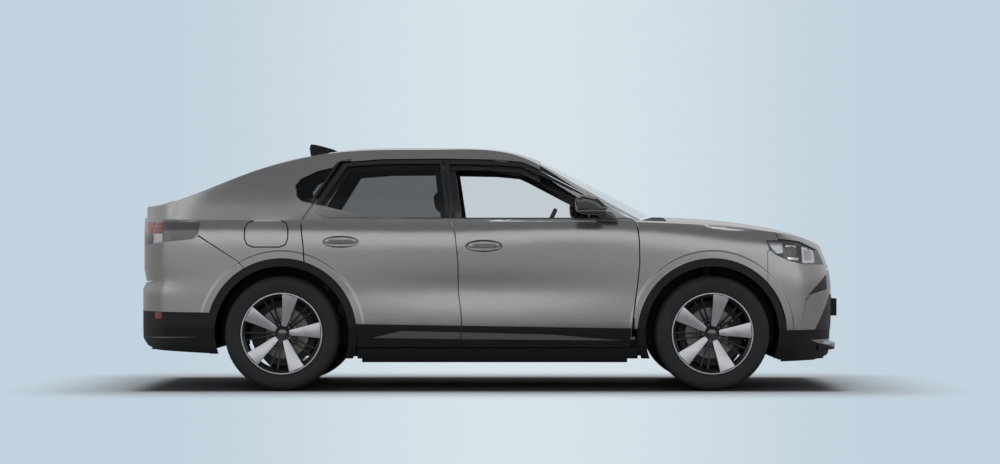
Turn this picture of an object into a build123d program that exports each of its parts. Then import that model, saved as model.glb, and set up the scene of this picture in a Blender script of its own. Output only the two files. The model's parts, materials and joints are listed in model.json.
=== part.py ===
"""Mid-size electric SUV with a sloping coupe roof.

Frame: +X towards the nose, +Y to the car's left, +Z up. The origin is on the floor, midway along the
car. Lengths are in millimetres. The body is drawn as two smooth hulls, a lower body and a glasshouse,
and every panel is a stretch of the wall between an outer and an inner copy of them.
"""

import math
import os

from build123d import *

# ---------------------------------------------------------------- driving dimensions
LENGTH = 4634
WHEELBASE = 2767
FRONT_OVERHANG = 880
TYRE_RADIUS = 370
TYRE_WIDTH = 240
RIM_RADIUS = 262
WHEEL_HEIGHT = TYRE_RADIUS
TRACK = 1590
BODY_HALF_WIDTH = 922
BELT_HEIGHT = 1112
SILL_BOTTOM = 208
GAP = 8
DOOR_THICKNESS = 92
DOOR_INNER = 772
FRAME_THICKNESS = 46
SKIN = 14
FLANGE_WIDTH = 15
SEAL_GAP = 8
PILLAR_DEPTH = 150
LENS = 5
LAMP_DEPTH = 60
FIT = 0.3
ARCH_RADIUS = 484
ARCH_TRIM_RADIUS = 432
FLARE_RADIUS = 530
FLARE_HEIGHT = 9

NOSE = LENGTH / 2
TAIL = -LENGTH / 2
FRONT_AXLE = NOSE - FRONT_OVERHANG
REAR_AXLE = FRONT_AXLE - WHEELBASE
AXLES = (FRONT_AXLE, REAR_AXLE)
SIDES = {"right": -1, "left": 1}


# ---------------------------------------------------------------- hulls
def shoulder_line(x):
    """Height at which the body side begins to roll over into the bonnet, belt or rear shoulder."""
    if x > 1100:
        return 1100 - 175 * ((x - 1100) / 1200) ** 2
    return 1112 + 10 * min(max(-x / 1200, 0), 1)


def side_width(x, z, inset):
    """Half width of the lower body at a station and height."""
    plan = 1 - 0.030 * max(x - 900, 0) / 1000 - 0.035 * max(-x - 1000, 0) / 1000
    tuck = 62 * max((430 - z) / 230, 0) ** 1.6
    crease = 520 + 40 * (x + 900) / -1800
    waist = 17 * math.exp(-(((z - crease - 150) / 105) ** 2))
    waist *= max(0, 1 - ((x - 50) / 1150) ** 4)
    near_top = max(z - (shoulder_line(x) - 130), 0)
    roll = min(0.0045 * near_top**2, 150)
    return BODY_HALF_WIDTH * plan - tuck - waist - roll - inset


def shared_knots(count):
    """Spline parameters for a plan outline, the same at every height so that the loft stays light."""
    steps = [0.7, 0.55, 0.5] + [0.6, 1.2, 1.2, 0.6] + [0.45, 0.45, 0.6]
    return [sum(steps[:i]) / sum(steps) for i in range(count)]


def half_outline(z, nose, tail, width, nose_round, tail_round):
    """Left half of a plan outline: a bowed nose, a side and a bowed tail as one curve, closed on y = 0.

    width(x) is the half width of the side; nose_round and tail_round are (length, exponent) of the
    rounded ends.
    """
    angles = [math.radians(a) for a in (90, 62, 38, 16)]
    front_x, rear_x = nose - nose_round[0], tail + tail_round[0]
    points = []
    for a in angles:
        x = front_x + nose_round[0] * math.sin(a) ** (2 / nose_round[1])
        points.append((x, width(x) * math.cos(a) ** (2 / nose_round[1])))
    for share in (0.12, 0.5, 0.88):
        x = front_x + (rear_x - front_x) * share
        points.append((x, width(x)))
    for a in reversed(angles):
        x = rear_x - tail_round[0] * math.sin(a) ** (2 / tail_round[1])
        points.append((x, width(x) * math.cos(a) ** (2 / tail_round[1])))
    points[0], points[-1] = (nose, 0), (tail, 0)
    knots = shared_knots(len(points))
    nose_speed = math.dist(points[0], points[1]) / knots[1]
    tail_speed = math.dist(points[-1], points[-2]) / (1 - knots[-2])
    curve = Edge.make_spline([(x, y, z) for x, y in points], [(0, nose_speed, 0), (0, -tail_speed, 0)],
                             parameters=knots, scale=False)
    return Face(Wire([curve, Edge.make_line((tail, 0, z), (nose, 0, z))]))


NOSE_ROUND = (720, 2.6)
TAIL_ROUND = (560, 2.9)
LEDGE_LOW, LEDGE_HIGH = 652, 700
BODY_LEVELS = (150, 290, 410, 520, LEDGE_LOW, LEDGE_HIGH, 780, 940, 1030, 1090, 1150)
CABIN_LEVELS = (900, 1112, 1240, 1360, 1470, 1560, 1640)
CROWN_STATIONS = (-20, 220, 440, 640, 800, 960)


def nose_at(z):
    """Front of the lower hull on the centre line, by height."""
    return NOSE - 27 - 14 * (max(z - 650, 0) / 125) ** 2 - 10 * max(500 - z, 0) / 200


def tail_at(z):
    """Rear of the lower hull on the centre line, by height: it steps in over the bumper's ledge."""
    if z < LEDGE_HIGH:
        return TAIL
    return TAIL + (24 if z < 780 else 8)


def cabin_width(x, z, inset):
    """Half width of the glasshouse at a station and height: it leans in and is bowed in plan."""
    up = z - BELT_HEIGHT
    plan = 45 * max(x / 1000, 0) ** 2 + 105 * max(-x / 2200, 0) ** 2
    return 818 - 0.30 * up - 0.0004 * up * abs(up) - plan - inset


def crowned(points, drop, shift, inset):
    """A solid under a crowned surface whose side-view line runs through points, front to back.

    At half width 960 the line lies drop lower, and shift(x) further back.
    """
    sections = []
    for y in CROWN_STATIONS:
        share = (y / 960) ** 2
        line = [(x - shift(x) * share, z - drop(x) * share - inset) for x, z in points]
        first, last = line[0], line[-1]
        with BuildSketch(Plane.XZ.offset(-y)) as sketch:
            with BuildLine():
                Spline(*line)
                Polyline(last, (last[0], 0), (first[0], 0), first)
            make_face()
        sections.append(sketch.sketch)
    return loft(sections, ruled=True)


BONNET_LINE = ((2420, 660), (2230, 922), (2050, 1008), (1750, 1078), (1150, 1130),
               (400, 1116), (-1000, 1116), (-2500, 1124))
ROOF_LINE = ((1500, 932), (1113, 1122), (554, 1410), (200, 1552), (-354, 1594),
             (-950, 1580), (-1530, 1457), (-2100, 1245), (-2230, 1212), (-2500, 1206))


def lower_hull(side, top):
    """Left half of the body below the belt line, its walls moved in by side and its top down by top."""
    sections = []
    for z in BODY_LEVELS:
        sections.append(half_outline(z, nose_at(z) - side, tail_at(z) + side,
                                     lambda x, z=z: side_width(x, z, side), NOSE_ROUND, TAIL_ROUND))
    return loft(sections, ruled=True) & crowned(BONNET_LINE, lambda x: 62 if x > 1000 else 20, lambda x: 0, top)


def cabin_hull(inset):
    """Left half of the glasshouse and roof, down to below the belt line, moved in by inset."""
    sections = []
    for z in CABIN_LEVELS:
        sections.append(half_outline(z, 1480 - inset, TAIL + 14 + inset,
                                     lambda x, z=z: cabin_width(x, z, inset), (300, 4), TAIL_ROUND))
    bow = lambda x: 150 if x > 500 else (70 if x > 200 else 0)
    return loft(sections, ruled=True) & crowned(ROOF_LINE, lambda x: 78, bow, 1.12 * inset)


SIDE_INSETS = {-FLARE_HEIGHT: -FLARE_HEIGHT, 0: 0, LENS: LENS, LENS + FIT: LENS + FIT, SKIN: 30,
               SKIN + FIT: 30 + FIT, LAMP_DEPTH: LAMP_DEPTH, DOOR_THICKNESS: 70, DOOR_THICKNESS + FIT: 70 + FIT,
               DOOR_THICKNESS + SEAL_GAP: 78, PILLAR_DEPTH: 122}
LOWER = {side: lower_hull(side, top) for side, top in SIDE_INSETS.items()}
CABIN = {inset: cabin_hull(inset) for inset in
         (0, 8, SKIN, FRAME_THICKNESS, FRAME_THICKNESS + SEAL_GAP, 92)}


def wall(hulls, outer, inner):
    """What lies between two copies of a hull."""
    with BuildPart() as layer:
        add(hulls[outer])
        add(hulls[inner], mode=Mode.SUBTRACT)
    return layer.part


def cut_from(stock, keep=(), away=()):
    """The stretch of a wall inside every keep shape and outside every away shape."""
    with BuildPart() as piece:
        add(stock)
        for shape in keep:
            add(shape, mode=Mode.INTERSECT)
        for shape in away:
            add(shape, mode=Mode.SUBTRACT)
    return piece.part


def joined(*shapes):
    with BuildPart() as piece:
        for shape in shapes:
            add(shape)
    return piece.part


def main_solid(shape):
    """The one solid of a shape that is not a sliver."""
    return max(shape.solids(), key=lambda s: s.bounding_box().diagonal)


def mirrored(shape):
    return shape.mirror(Plane.XZ)


def whole(half):
    """A centre piece from its left half."""
    with BuildPart() as piece:
        add(half)
        mirror(about=Plane.XZ)
    return piece.part


def side_face(*points):
    """A face in the X-Z plane inside a closed run of (x, z) points."""
    with BuildSketch(Plane.XZ) as sketch:
        with BuildLine():
            Polyline(*points, close=True)
        make_face()
    return sketch.sketch


def plan_face(*points):
    """A face in the X-Y plane inside a closed run of (x, y) points."""
    with BuildSketch() as sketch:
        with BuildLine():
            Polyline(*points, close=True)
        make_face()
    return sketch.sketch


def across(face, inner=0, outer=1100):
    """A side-view face as a cutter for the left half, from one half width to another."""
    return Pos(0, outer, 0) * extrude(face, outer - inner)


def upright(face, low=100, high=1700):
    """A plan face as a cutter between two heights."""
    return Pos(0, 0, low) * extrude(face, high - low)


def block(x0, x1, y0, y1, z0, z1):
    """A box between two corners."""
    box = Box(x1 - x0, y1 - y0, z1 - z0, align=(Align.MIN, Align.MIN, Align.MIN))
    return Pos(x0, y0, z0) * box


def disc(x, radius):
    """A round face in side view, about a wheel's centre."""
    with BuildSketch(Plane.XZ) as sketch:
        with Locations((x, WHEEL_HEIGHT)):
            Circle(radius)
    return sketch.sketch


def grown(face, amount):
    """The outline of a face moved outwards, with sharp corners."""
    return offset(face, amount, kind=Kind.INTERSECTION)


PAINT_WALL = wall(LOWER, 0, SKIN)
FLARE_WALL = wall(LOWER, -FLARE_HEIGHT, SKIN)
DOOR_WALL = wall(LOWER, 0, DOOR_THICKNESS)
PILLAR_WALL = wall(LOWER, DOOR_THICKNESS + SEAL_GAP, PILLAR_DEPTH)
SILL_WALL = wall(LOWER, 0, DOOR_THICKNESS + SEAL_GAP)
LAMP_WALL = wall(LOWER, 0, LAMP_DEPTH)
ROOF_SKIN = wall(CABIN, 0, SKIN)
FRAME_WALL = wall(CABIN, 0, FRAME_THICKNESS)
FRAME_SEAL = wall(CABIN, 0, FRAME_THICKNESS + SEAL_GAP)
RAIL_WALL = wall(CABIN, 0, 92)
INNER_RAIL = wall(CABIN, FRAME_THICKNESS + SEAL_GAP, 92)
SCREEN_WALL = wall(CABIN, 0, 8)
WINDOW_PANE = wall(CABIN, 8, SKIN)

# ---------------------------------------------------------------- outlines in side view
B_LINE = ((-296, 1496), (-243, 1107), (-213, 1013), (-194, 842), (-190, 632), (-171, 485), (-174, 282))
DOOR_FRONT = side_face((905, 282), (924, 485), (950, 676), (965, 823), (962, 970), (945, 1100),
                       (291, 1440), (215, 1474), (43, 1490), *B_LINE)
REAR_EDGE = ((-952, 1473), (-1137, 1192), (-1201, 1100))
DOOR_REAR = side_face(*[(x - GAP, z) for x, z in reversed(B_LINE)], (-700, 1493), *REAR_EDGE,
                      (-1202, 1058), (-1188, 943), (-1176, 780), (-845, 420), (-845, 282))
DOOR_REAR = DOOR_REAR - disc(REAR_AXLE, ARCH_RADIUS)
REAR_EDGE_RELIEF = side_face((-900, 1473), *REAR_EDGE, (-1216, 1100), (-1152, 1197), (-972, 1489),
                             (-900, 1503))
GLASS_FRONT = side_face((925, 1113), (885, 1116), (-215, 1116), (-262, 1470), (43, 1462), (200, 1450),
                        (262, 1424))
GLASS_REAR = side_face((-275, 1116), (-322, 1470), (-700, 1468), (-925, 1452), (-1085, 1213),
                       (-1125, 1145), (-1050, 1116))
QUARTER = side_face((-1010, 1448), (-1120, 1421), (-1225, 1370), (-1262, 1322), (-1253, 1262),
                    (-1215, 1222), (-1168, 1212))
HEADLAMP_TOP = ((1785, 969), (1907, 969), (2016, 956), (2115, 914), (2196, 892), (2360, 880))
HEADLAMP = side_face(*HEADLAMP_TOP, (2360, 806), (2130, 815), (2043, 815), (1934, 838), (1843, 878),
                     (1803, 914))
TAIL_LAMP = side_face((-1861, 1084), (-1866, 1017), (-1906, 978), (-2290, 940), (-2360, 938),
                      (-2360, 1088))
FLAP = side_face((-1293, 1041), (-1293, 980), (-1308, 944), (-1344, 929), (-1513, 929), (-1549, 944),
                 (-1564, 980), (-1564, 1041), (-1549, 1077), (-1513, 1092), (-1344, 1092), (-1308, 1077))
ABOVE_LAMP = side_face(*HEADLAMP_TOP, (2500, 880), (2500, 1300), (1000, 1300), (1000, 969))
BUMPER_SPLIT = 1795
PAINT_BOTTOM_FRONT = 390
PAINT_BOTTOM_REAR = 513
FENDER = side_face((905 + GAP, 490), (936, 470), (936, 400), (1160, 400), (BUMPER_SPLIT - 3, 640), (BUMPER_SPLIT - 3, 900),
                   (1930, 955), (1930, 1300), (1000, 1300), (905 + GAP, 1300))
FRONT_BUMPER = side_face((BUMPER_SPLIT, PAINT_BOTTOM_FRONT), (2500, PAINT_BOTTOM_FRONT), (2500, 905),
                         (1818, 905), (BUMPER_SPLIT, 896))
FRONT_TRIM = side_face((1850, 186), (2119, 190), (2230, 215), (2309, 252), (2400, 300),
                       (2400, PAINT_BOTTOM_FRONT - 1), (1700, PAINT_BOTTOM_FRONT - 1), (1700, 186))
REAR_SPLIT = side_face((-1906, 978), (-1866, 1003), (-1606, 833), (-1540, 760), (-1540, 400),
                       (-2500, 400), (-2500, 990))
REAR_BUMPER = side_face((-1911, 975), (-1869, 995), (-1609, 830), (-1543, 757), (-1543, 500),
                        (-1780, PAINT_BOTTOM_REAR - 8), (-2500, PAINT_BOTTOM_REAR), (-2500, 986))
REAR_TRIM = side_face((-1700, 236), (-2148, 260), (-2227, 285), (-2290, 340), (-2500, 480),
                      (-2500, PAINT_BOTTOM_REAR - 1), (-1780, PAINT_BOTTOM_REAR - 9), (-1700, 440))

# ---------------------------------------------------------------- outlines in plan
PAST = -20
BONNET_REAR = 1150
BONNET_PLAN = plan_face((BONNET_REAR, PAST), (BONNET_REAR, 738), (1250, 757), (1500, 754), (1785, 738),
                        (1850, 748), (1915, 860), (2500, 860), (2500, PAST))
NOSE_HALF = 470
BONNET_BOTTOM = 785
COWL_PLAN = plan_face((1000, PAST), (BONNET_REAR - GAP, PAST), (BONNET_REAR - GAP, 741), (1000, 741))
TAILGATE_TOP = -1536
TAILGATE_HALF = 700
TAILGATE_PLAN = plan_face((TAILGATE_TOP, PAST), (TAILGATE_TOP, 560), (-2180, 690), (-2230, TAILGATE_HALF),
                          (-2500, TAILGATE_HALF), (-2500, PAST))
TAILGATE_BOTTOM = LEDGE_HIGH + 4
LAMP_INNER = 330
REAR_GLASS_PLAN = plan_face((-1580, PAST), (-1580, 500), (-2090, 600), (-2110, 590), (-2110, PAST))
SCREEN_PLAN = plan_face((336, PAST), (336, 560), (900, 690), (1180, 745), (1300, 745), (1300, PAST))
SCREEN_GLASS_PLAN = plan_face((337, PAST), (337, 558), (900, 689), (1120, 732), (1300, 732), (1300, PAST))
ROOF_PLAN = plan_face((330, PAST), (330, 565), (TAILGATE_TOP + GAP, 565), (TAILGATE_TOP + GAP, PAST))
ROOF_GLASS_PLAN = plan_face((250, PAST), (250, 470), (-1180, 455), (-1180, PAST))


def arches(radius):
    """Cutter for both wheel openings of the left side."""
    return joined(across(disc(FRONT_AXLE, radius), 440), across(disc(REAR_AXLE, radius), 440))


bonnet_zone = joined(upright(BONNET_PLAN, BONNET_BOTTOM) & across(ABOVE_LAMP),
                     block(2000, 2500, 0, NOSE_HALF, BONNET_BOTTOM, 1000))
bonnet_hole = joined(upright(grown(BONNET_PLAN, GAP), BONNET_BOTTOM) & across(ABOVE_LAMP),
                     block(2000, 2500, 0, NOSE_HALF + GAP, BONNET_BOTTOM - GAP, 1000))
tailgate_zone = upright(TAILGATE_PLAN, TAILGATE_BOTTOM)
tailgate_hole = upright(grown(TAILGATE_PLAN, GAP), TAILGATE_BOTTOM - GAP)
lamp_hole = across(grown(HEADLAMP, 1), NOSE_HALF + GAP)
tail_lamp_hole = across(grown(TAIL_LAMP, 1), TAILGATE_HALF + GAP)
flare_rings = across(disc(FRONT_AXLE, FLARE_RADIUS), 600).fuse(across(disc(REAR_AXLE, FLARE_RADIUS), 600))
flares = cut_from(FLARE_WALL, keep=[flare_rings, block(-2100, 2100, 600, 1100, 440, 950)])
skinned = cut_from(joined(PAINT_WALL, flares), away=[arches(ARCH_RADIUS)])


# ---------------------------------------------------------------- doors
def door_shell(skin, outline, windows):
    """Left door: a flange of panel thickness round a box as thick as the whole door, cut for its glass."""
    core = grown(outline, -FLANGE_WIDTH)
    below = block(-1300, 1200, 700, 1000, 250, 1125)
    above = block(-1300, 1200, 500, 1000, 1000, 1600)
    return cut_from(joined(cut_from(DOOR_WALL, keep=[across(core, DOOR_INNER), below]),
                           cut_from(skin, keep=[across(outline, DOOR_INNER), below]),
                           cut_from(FRAME_WALL, keep=[across(core, 560), above]),
                           cut_from(ROOF_SKIN, keep=[across(outline, 560), above])),
                    away=[across(windows, 500)])


def pane(outline):
    """A side window, clear of its opening."""
    return main_solid(cut_from(WINDOW_PANE, keep=[across(grown(outline, -0.5), 500)]))


with BuildPart() as screen_corner:
    with BuildSketch(Plane.YZ.offset(700)):
        with BuildLine():
            Polyline((500, 1000), (776, 1000), (742, 1116), (500, 1116), close=True)
        make_face()
    extrude(amount=300)
door_front = cut_from(door_shell(PAINT_WALL, DOOR_FRONT, GLASS_FRONT), away=[screen_corner.part])
door_front = main_solid(door_front)
door_rear = main_solid(door_shell(skinned, DOOR_REAR, GLASS_REAR))

# ---------------------------------------------------------------- body side
door_holes = joined(across(grown(DOOR_FRONT, GAP)), across(grown(DOOR_REAR, GAP)),
                    across(REAR_EDGE_RELIEF))
door_holes = cut_from(door_holes, away=[across(disc(REAR_AXLE, ARCH_RADIUS - 1))])
openings = joined(across(grown(DOOR_FRONT, -65), 500), across(grown(DOOR_REAR, -60), 500))
ring_lower = cut_from(PILLAR_WALL, keep=[door_holes, block(-1300, 1200, 640, 1000, 205, 1060)],
                      away=[FRAME_SEAL, openings])
ring_upper = cut_from(INNER_RAIL, keep=[door_holes, block(-1300, 1200, 500, 1000, 1000, 1600)],
                      away=[openings, cut_from(SILL_WALL, keep=[block(-1300, 1200, DOOR_INNER - 6, 1000, 900,
                                                                      1200)])])
rocker = cut_from(PILLAR_WALL, keep=[block(-850, 945, 640, 1000, 212, 345)])
strikers = cut_from(joined(block(-160, -130, 780, 860, 600, 640), block(-1160, -1130, 740, 860, 880, 920)),
                    keep=[LOWER[DOOR_THICKNESS + FIT]])
rails = cut_from(RAIL_WALL, keep=[block(-2400, 1060, 0, 1000, 1085, 1700)],
                 away=[door_holes, upright(grown(ROOF_PLAN, 0.5)), upright(SCREEN_PLAN), tailgate_hole,
                       tail_lamp_hole, across(QUARTER, 400)])
quarter = cut_from(skinned, keep=[block(-2310, -845, 640, 1100, 300, 1200)],
                   away=[across(grown(DOOR_REAR, GAP)), across(REAR_SPLIT), tailgate_hole,
                         tail_lamp_hole, CABIN[SKIN]])
side_frame = main_solid(joined(ring_lower, ring_upper, rocker, rails, quarter, strikers))
FLAP_GAP = 7.5
INLET_RADIUS, INLET_DEPTH = 29, 22
INLET_FACE = 853
POCKET = (-1580, -1277, 913, 1108)
charge_side = cut_from(side_frame, away=[across(grown(FLAP, FLAP_GAP), 832)])
charge_side = main_solid(charge_side)
pocket = cut_from(block(*POCKET[:2], 822, 1000, *POCKET[2:]), keep=[LOWER[SKIN]],
                  away=[block(POCKET[0] + 8, POCKET[1] - 8, 830, 1000, POCKET[2] + 8, POCKET[3] - 8), side_frame])
inlet = Pos(-1428.5, INLET_FACE - 23, 1010) * Rot(90, 0, 0) * Cylinder(INLET_RADIUS + 8, 46)
inlet_bore = Pos(-1428.5, INLET_FACE - INLET_DEPTH / 2 + 10, 1010) * Rot(90, 0, 0) * Cylinder(
    INLET_RADIUS, INLET_DEPTH + 20)
flap_stop = cut_from(block(-1546, -1530, 826, 940, 1002, 1018), keep=[LOWER[LENS + FIT]])
charge_port = cut_from(joined(main_solid(pocket), inlet, flap_stop), away=[inlet_bore])
charge_flap = main_solid(cut_from(wall(LOWER, 0, LENS), keep=[across(FLAP, 700)]))

# ---------------------------------------------------------------- outer panels
cowl_hole = upright(grown(COWL_PLAN, 0.5), 1000)
fender = cut_from(skinned, keep=[across(FENDER, 600)],
                  away=[across(grown(DOOR_FRONT, GAP)), bonnet_hole, lamp_hole, cowl_hole, CABIN[0]])
fender = main_solid(fender)
bonnet = cut_from(PAINT_WALL, keep=[bonnet_zone], away=[across(grown(HEADLAMP, GAP), NOSE_HALF)])
bonnet = whole(main_solid(bonnet))
cowl = whole(main_solid(cut_from(PAINT_WALL, keep=[upright(COWL_PLAN, 1000)], away=[CABIN[0]])))
front_bumper = cut_from(skinned, keep=[across(FRONT_BUMPER)], away=[bonnet_hole, lamp_hole])
front_bumper = whole(main_solid(front_bumper))
front_tray = cut_from(block(1880, 2200, 0, 760, 196, 204), keep=[LOWER[0]])
front_trim = cut_from(PAINT_WALL, keep=[across(FRONT_TRIM)], away=[arches(ARCH_RADIUS)])
splitter = upright(plan_face((2150, 0), (NOSE, 0), (2312, 150), (2297, 300), (2268, 420), (2226, 520),
                             (2150, 610)), 252, 290)
plate_holder = cut_from(block(2240, NOSE - 1, 0, 255, 471, 585), away=[LOWER[0]])
front_trim = whole(joined(main_solid(joined(front_trim, front_tray, splitter)), plate_holder))
rear_bumper = cut_from(skinned, keep=[across(REAR_BUMPER)], away=[tailgate_hole, tail_lamp_hole])
rear_bumper = whole(main_solid(rear_bumper))
rear_tray = cut_from(block(-2200, -1790, 0, 760, 262, 270), keep=[LOWER[0]])
rear_trim = cut_from(PAINT_WALL, keep=[across(REAR_TRIM)], away=[arches(ARCH_RADIUS)])
rear_trim = whole(main_solid(joined(rear_trim, rear_tray)))
sill_trim = cut_from(SILL_WALL, keep=[block(-845, 958, 600, 1000, SILL_BOTTOM, 275)])
arch_area = side_face((-2000, 238), (-1700, 238), (-1700, SILL_BOTTOM), (2000, SILL_BOTTOM), (2000, 900),
                      (-2000, 900))
arch_trim = cut_from(PAINT_WALL, keep=[arches(ARCH_RADIUS - 0.5), across(arch_area)],
                     away=[arches(ARCH_TRIM_RADIUS), block(-846, 959, 0, 1000, 100, 276)])

# ---------------------------------------------------------------- roof, glass, lamps, tailgate
roof_shell = cut_from(ROOF_SKIN, keep=[upright(ROOF_PLAN, 1300)])
roof_panel = whole(main_solid(cut_from(roof_shell, away=[upright(ROOF_GLASS_PLAN, 1300)])))
roof_glass = whole(main_solid(cut_from(SCREEN_WALL, keep=[upright(grown(ROOF_GLASS_PLAN, -0.5), 1300)])))
windscreen = cut_from(SCREEN_WALL, keep=[upright(SCREEN_GLASS_PLAN, 1095)],
                      away=[LOWER[-FLARE_HEIGHT]])
windscreen = whole(main_solid(windscreen))
tailgate_upper = cut_from(FRAME_WALL, keep=[tailgate_zone],
                          away=[upright(REAR_GLASS_PLAN, 1130), LOWER[SKIN],
                                across(grown(TAIL_LAMP, 1), LAMP_INNER, 1000)])
tailgate_lower = cut_from(PAINT_WALL, keep=[tailgate_zone],
                          away=[CABIN[FRAME_THICKNESS], across(grown(TAIL_LAMP, 1), LAMP_INNER, 1000)])
tailgate = whole(main_solid(joined(tailgate_upper, tailgate_lower)))
rear_glass = whole(main_solid(cut_from(WINDOW_PANE, keep=[upright(grown(REAR_GLASS_PLAN, -0.5), 1130)])))
headlamp = main_solid(cut_from(LAMP_WALL, keep=[across(HEADLAMP, NOSE_HALF + GAP),
                                                block(1700, 2500, 0, 1000, 700, 1100)]))
tail_lamp = main_solid(cut_from(LAMP_WALL, keep=[across(TAIL_LAMP, TAILGATE_HALF + GAP)]))
gate_lamp = main_solid(cut_from(LAMP_WALL, keep=[across(TAIL_LAMP, LAMP_INNER + 1, TAILGATE_HALF),
                                                 tailgate_zone]))

# ---------------------------------------------------------------- wheel housings and floor
FLOOR_TOP = 318
FLOOR_BOTTOM = 293
LINER_INNER = 462


def wheel_liner(x, holes):
    """A plastic bowl inside a wheel opening: a part ring with an inner wall above the axle."""
    rim = across(disc(x, ARCH_TRIM_RADIUS + 12), LINER_INNER)
    hollow = across(disc(x, ARCH_TRIM_RADIUS + 4), LINER_INNER + 8)
    window = block(x - 250, x + 250, LINER_INNER - 1, LINER_INNER + 9, 200, 600)
    return main_solid(cut_from(rim, keep=[LOWER[SKIN], block(x - 500, x + 500, 400, 1000, 285, 900)],
                               away=[hollow, window, *holes]))


strut_hole = block(FRONT_AXLE - 90, FRONT_AXLE + 60, LINER_INNER - 2, 610, 740, 830)
liners = [wheel_liner(FRONT_AXLE, [strut_hole]), wheel_liner(REAR_AXLE, [])]
floor_line = side_face((905, 1040), (925, 1040), (925, FLOOR_BOTTOM), (-940, FLOOR_BOTTOM), (-985, 540),
                       (-2170, 560), (-2170, 575), (-1000, 556), (-955, FLOOR_TOP), (905, FLOOR_TOP))
floor_half = cut_from(across(floor_line, 0, 830), keep=[LOWER[PILLAR_DEPTH]],
                      away=[across(disc(REAR_AXLE, ARCH_TRIM_RADIUS + 13), LINER_INNER - 1)])
tub_outer = block(-2180, -1210, 0, 735, 575, 930)
tub_inner = block(-2170, -1210, -1, 725, 585, 1100)
cargo_tub = cut_from(tub_outer, keep=[LOWER[SKIN]],
                     away=[tub_inner, across(disc(REAR_AXLE, ARCH_TRIM_RADIUS + 13), LINER_INNER - 1)])
tailgate_striker = cut_from(block(-2320, -2172, 0, 30, 750, 790), keep=[LOWER[SKIN + FIT]])
cargo_tub = joined(main_solid(cargo_tub), tailgate_striker)
bay_line = side_face((930, 990), (1150, 990), (2080, 872), (2140, 740), (2150, 744), (2088, 882),
                     (1152, 1000), (930, 1000))
trunk_space = block(1300, 1800, -1, 330, 648, 1100)
bay_cover = cut_from(across(bay_line, 0, 690), keep=[LOWER[LAMP_DEPTH]],
                     away=[block(1300, 1800, -1, 330, 600, 1100), block(920, 975, 632, 700, 900, 1100)])
under_cover = side_face((1200, 600), (1900, 600), (1900, 895), (1150, 990), (1140, 990))
bay_tub = cut_from(block(1292, 1808, 0, 338, 640, 1100), keep=[across(under_cover)], away=[trunk_space])
bonnet_stop = cut_from(block(1880, 1910, 480, 510, 890, 1100), keep=[LOWER[SKIN + FIT]])
bay_cover = whole(joined(main_solid(joined(bay_cover, bay_tub)), bonnet_stop))

# ---------------------------------------------------------------- wheels
HUB_RADIUS = 60
BORE_RADIUS = 30
DISC_RADIUS = 165
DISC_IN, DISC_OUT = -49, -25
AXLE_IN = -65
TYRE_SEAT = 0.8
SPOKES = 5
SPOKE_START = -5


def wheel_shapes():
    """Alloy wheel with hub and brake disc, and its tyre, about the Y axis with the outside towards +Y."""
    half = TYRE_WIDTH / 2
    with BuildPart() as spoke:
        for reach, out, thick, broad in ((40, 49, 30, 50), (150, 72, 26, 62), (240, 90, 24, 104)):
            with BuildSketch(Plane.YZ.offset(reach)):
                with Locations((out, 0)):
                    Rectangle(thick, broad)
        loft(ruled=True)
    with BuildPart() as wheel:
        with BuildSketch(Plane.XY):
            with BuildLine():
                Polyline((RIM_RADIUS, half - 10), (RIM_RADIUS, half - 22), (251, half - 24), (236, half - 70),
                         (251, -half + 24), (RIM_RADIUS, -half + 22), (RIM_RADIUS, -half + 12),
                         (242, -half + 20), (226, half - 70), (240, half - 10), close=True)
            make_face()
        revolve(axis=Axis.Y)
        for turn in range(SPOKES):
            add(Rot(0, SPOKE_START + 360 / SPOKES * turn, 0) * spoke.part)
        with BuildSketch(Plane.XZ.offset(-68)):
            Circle(70)
        extrude(amount=38)
        with BuildSketch(Plane.XY):
            with BuildLine():
                Polyline((0, 35), (72, 35), (84, DISC_OUT), (DISC_RADIUS, DISC_OUT), (DISC_RADIUS, DISC_IN),
                         (HUB_RADIUS, DISC_IN), (52, AXLE_IN), (BORE_RADIUS, AXLE_IN), (BORE_RADIUS, 0),
                         (0, 0), close=True)
            make_face()
        revolve(axis=Axis.Y)
    with BuildPart() as tyre:
        with BuildSketch(Plane.XY):
            with BuildLine():
                Polyline((RIM_RADIUS + TYRE_SEAT, half - 8), (316, half), (TYRE_RADIUS - 11, half - 16),
                         (TYRE_RADIUS, half - 52), (TYRE_RADIUS, -half + 52), (TYRE_RADIUS - 11, -half + 16),
                         (316, -half), (RIM_RADIUS + TYRE_SEAT, -half + 8), close=True)
            make_face()
        revolve(axis=Axis.Y)
    return wheel.part, tyre.part


wheel_shape, tyre_shape = wheel_shapes()


def wheel_at(shape, x, side):
    """A wheel piece on its axle; the right-hand ones are turned round so that the outside faces out."""
    shape = shape if side > 0 else mirrored(shape)
    return Pos(x, side * TRACK / 2, WHEEL_HEIGHT) * shape


# ---------------------------------------------------------------- hub carriers and suspension
CARRIER_IN, CARRIER_OUT = 690, TRACK / 2 + AXLE_IN - 6
DISC_CLEAR = 6
KINGPIN = (CARRIER_IN + CARRIER_OUT) / 2
PIN_RADIUS = 9


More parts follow.
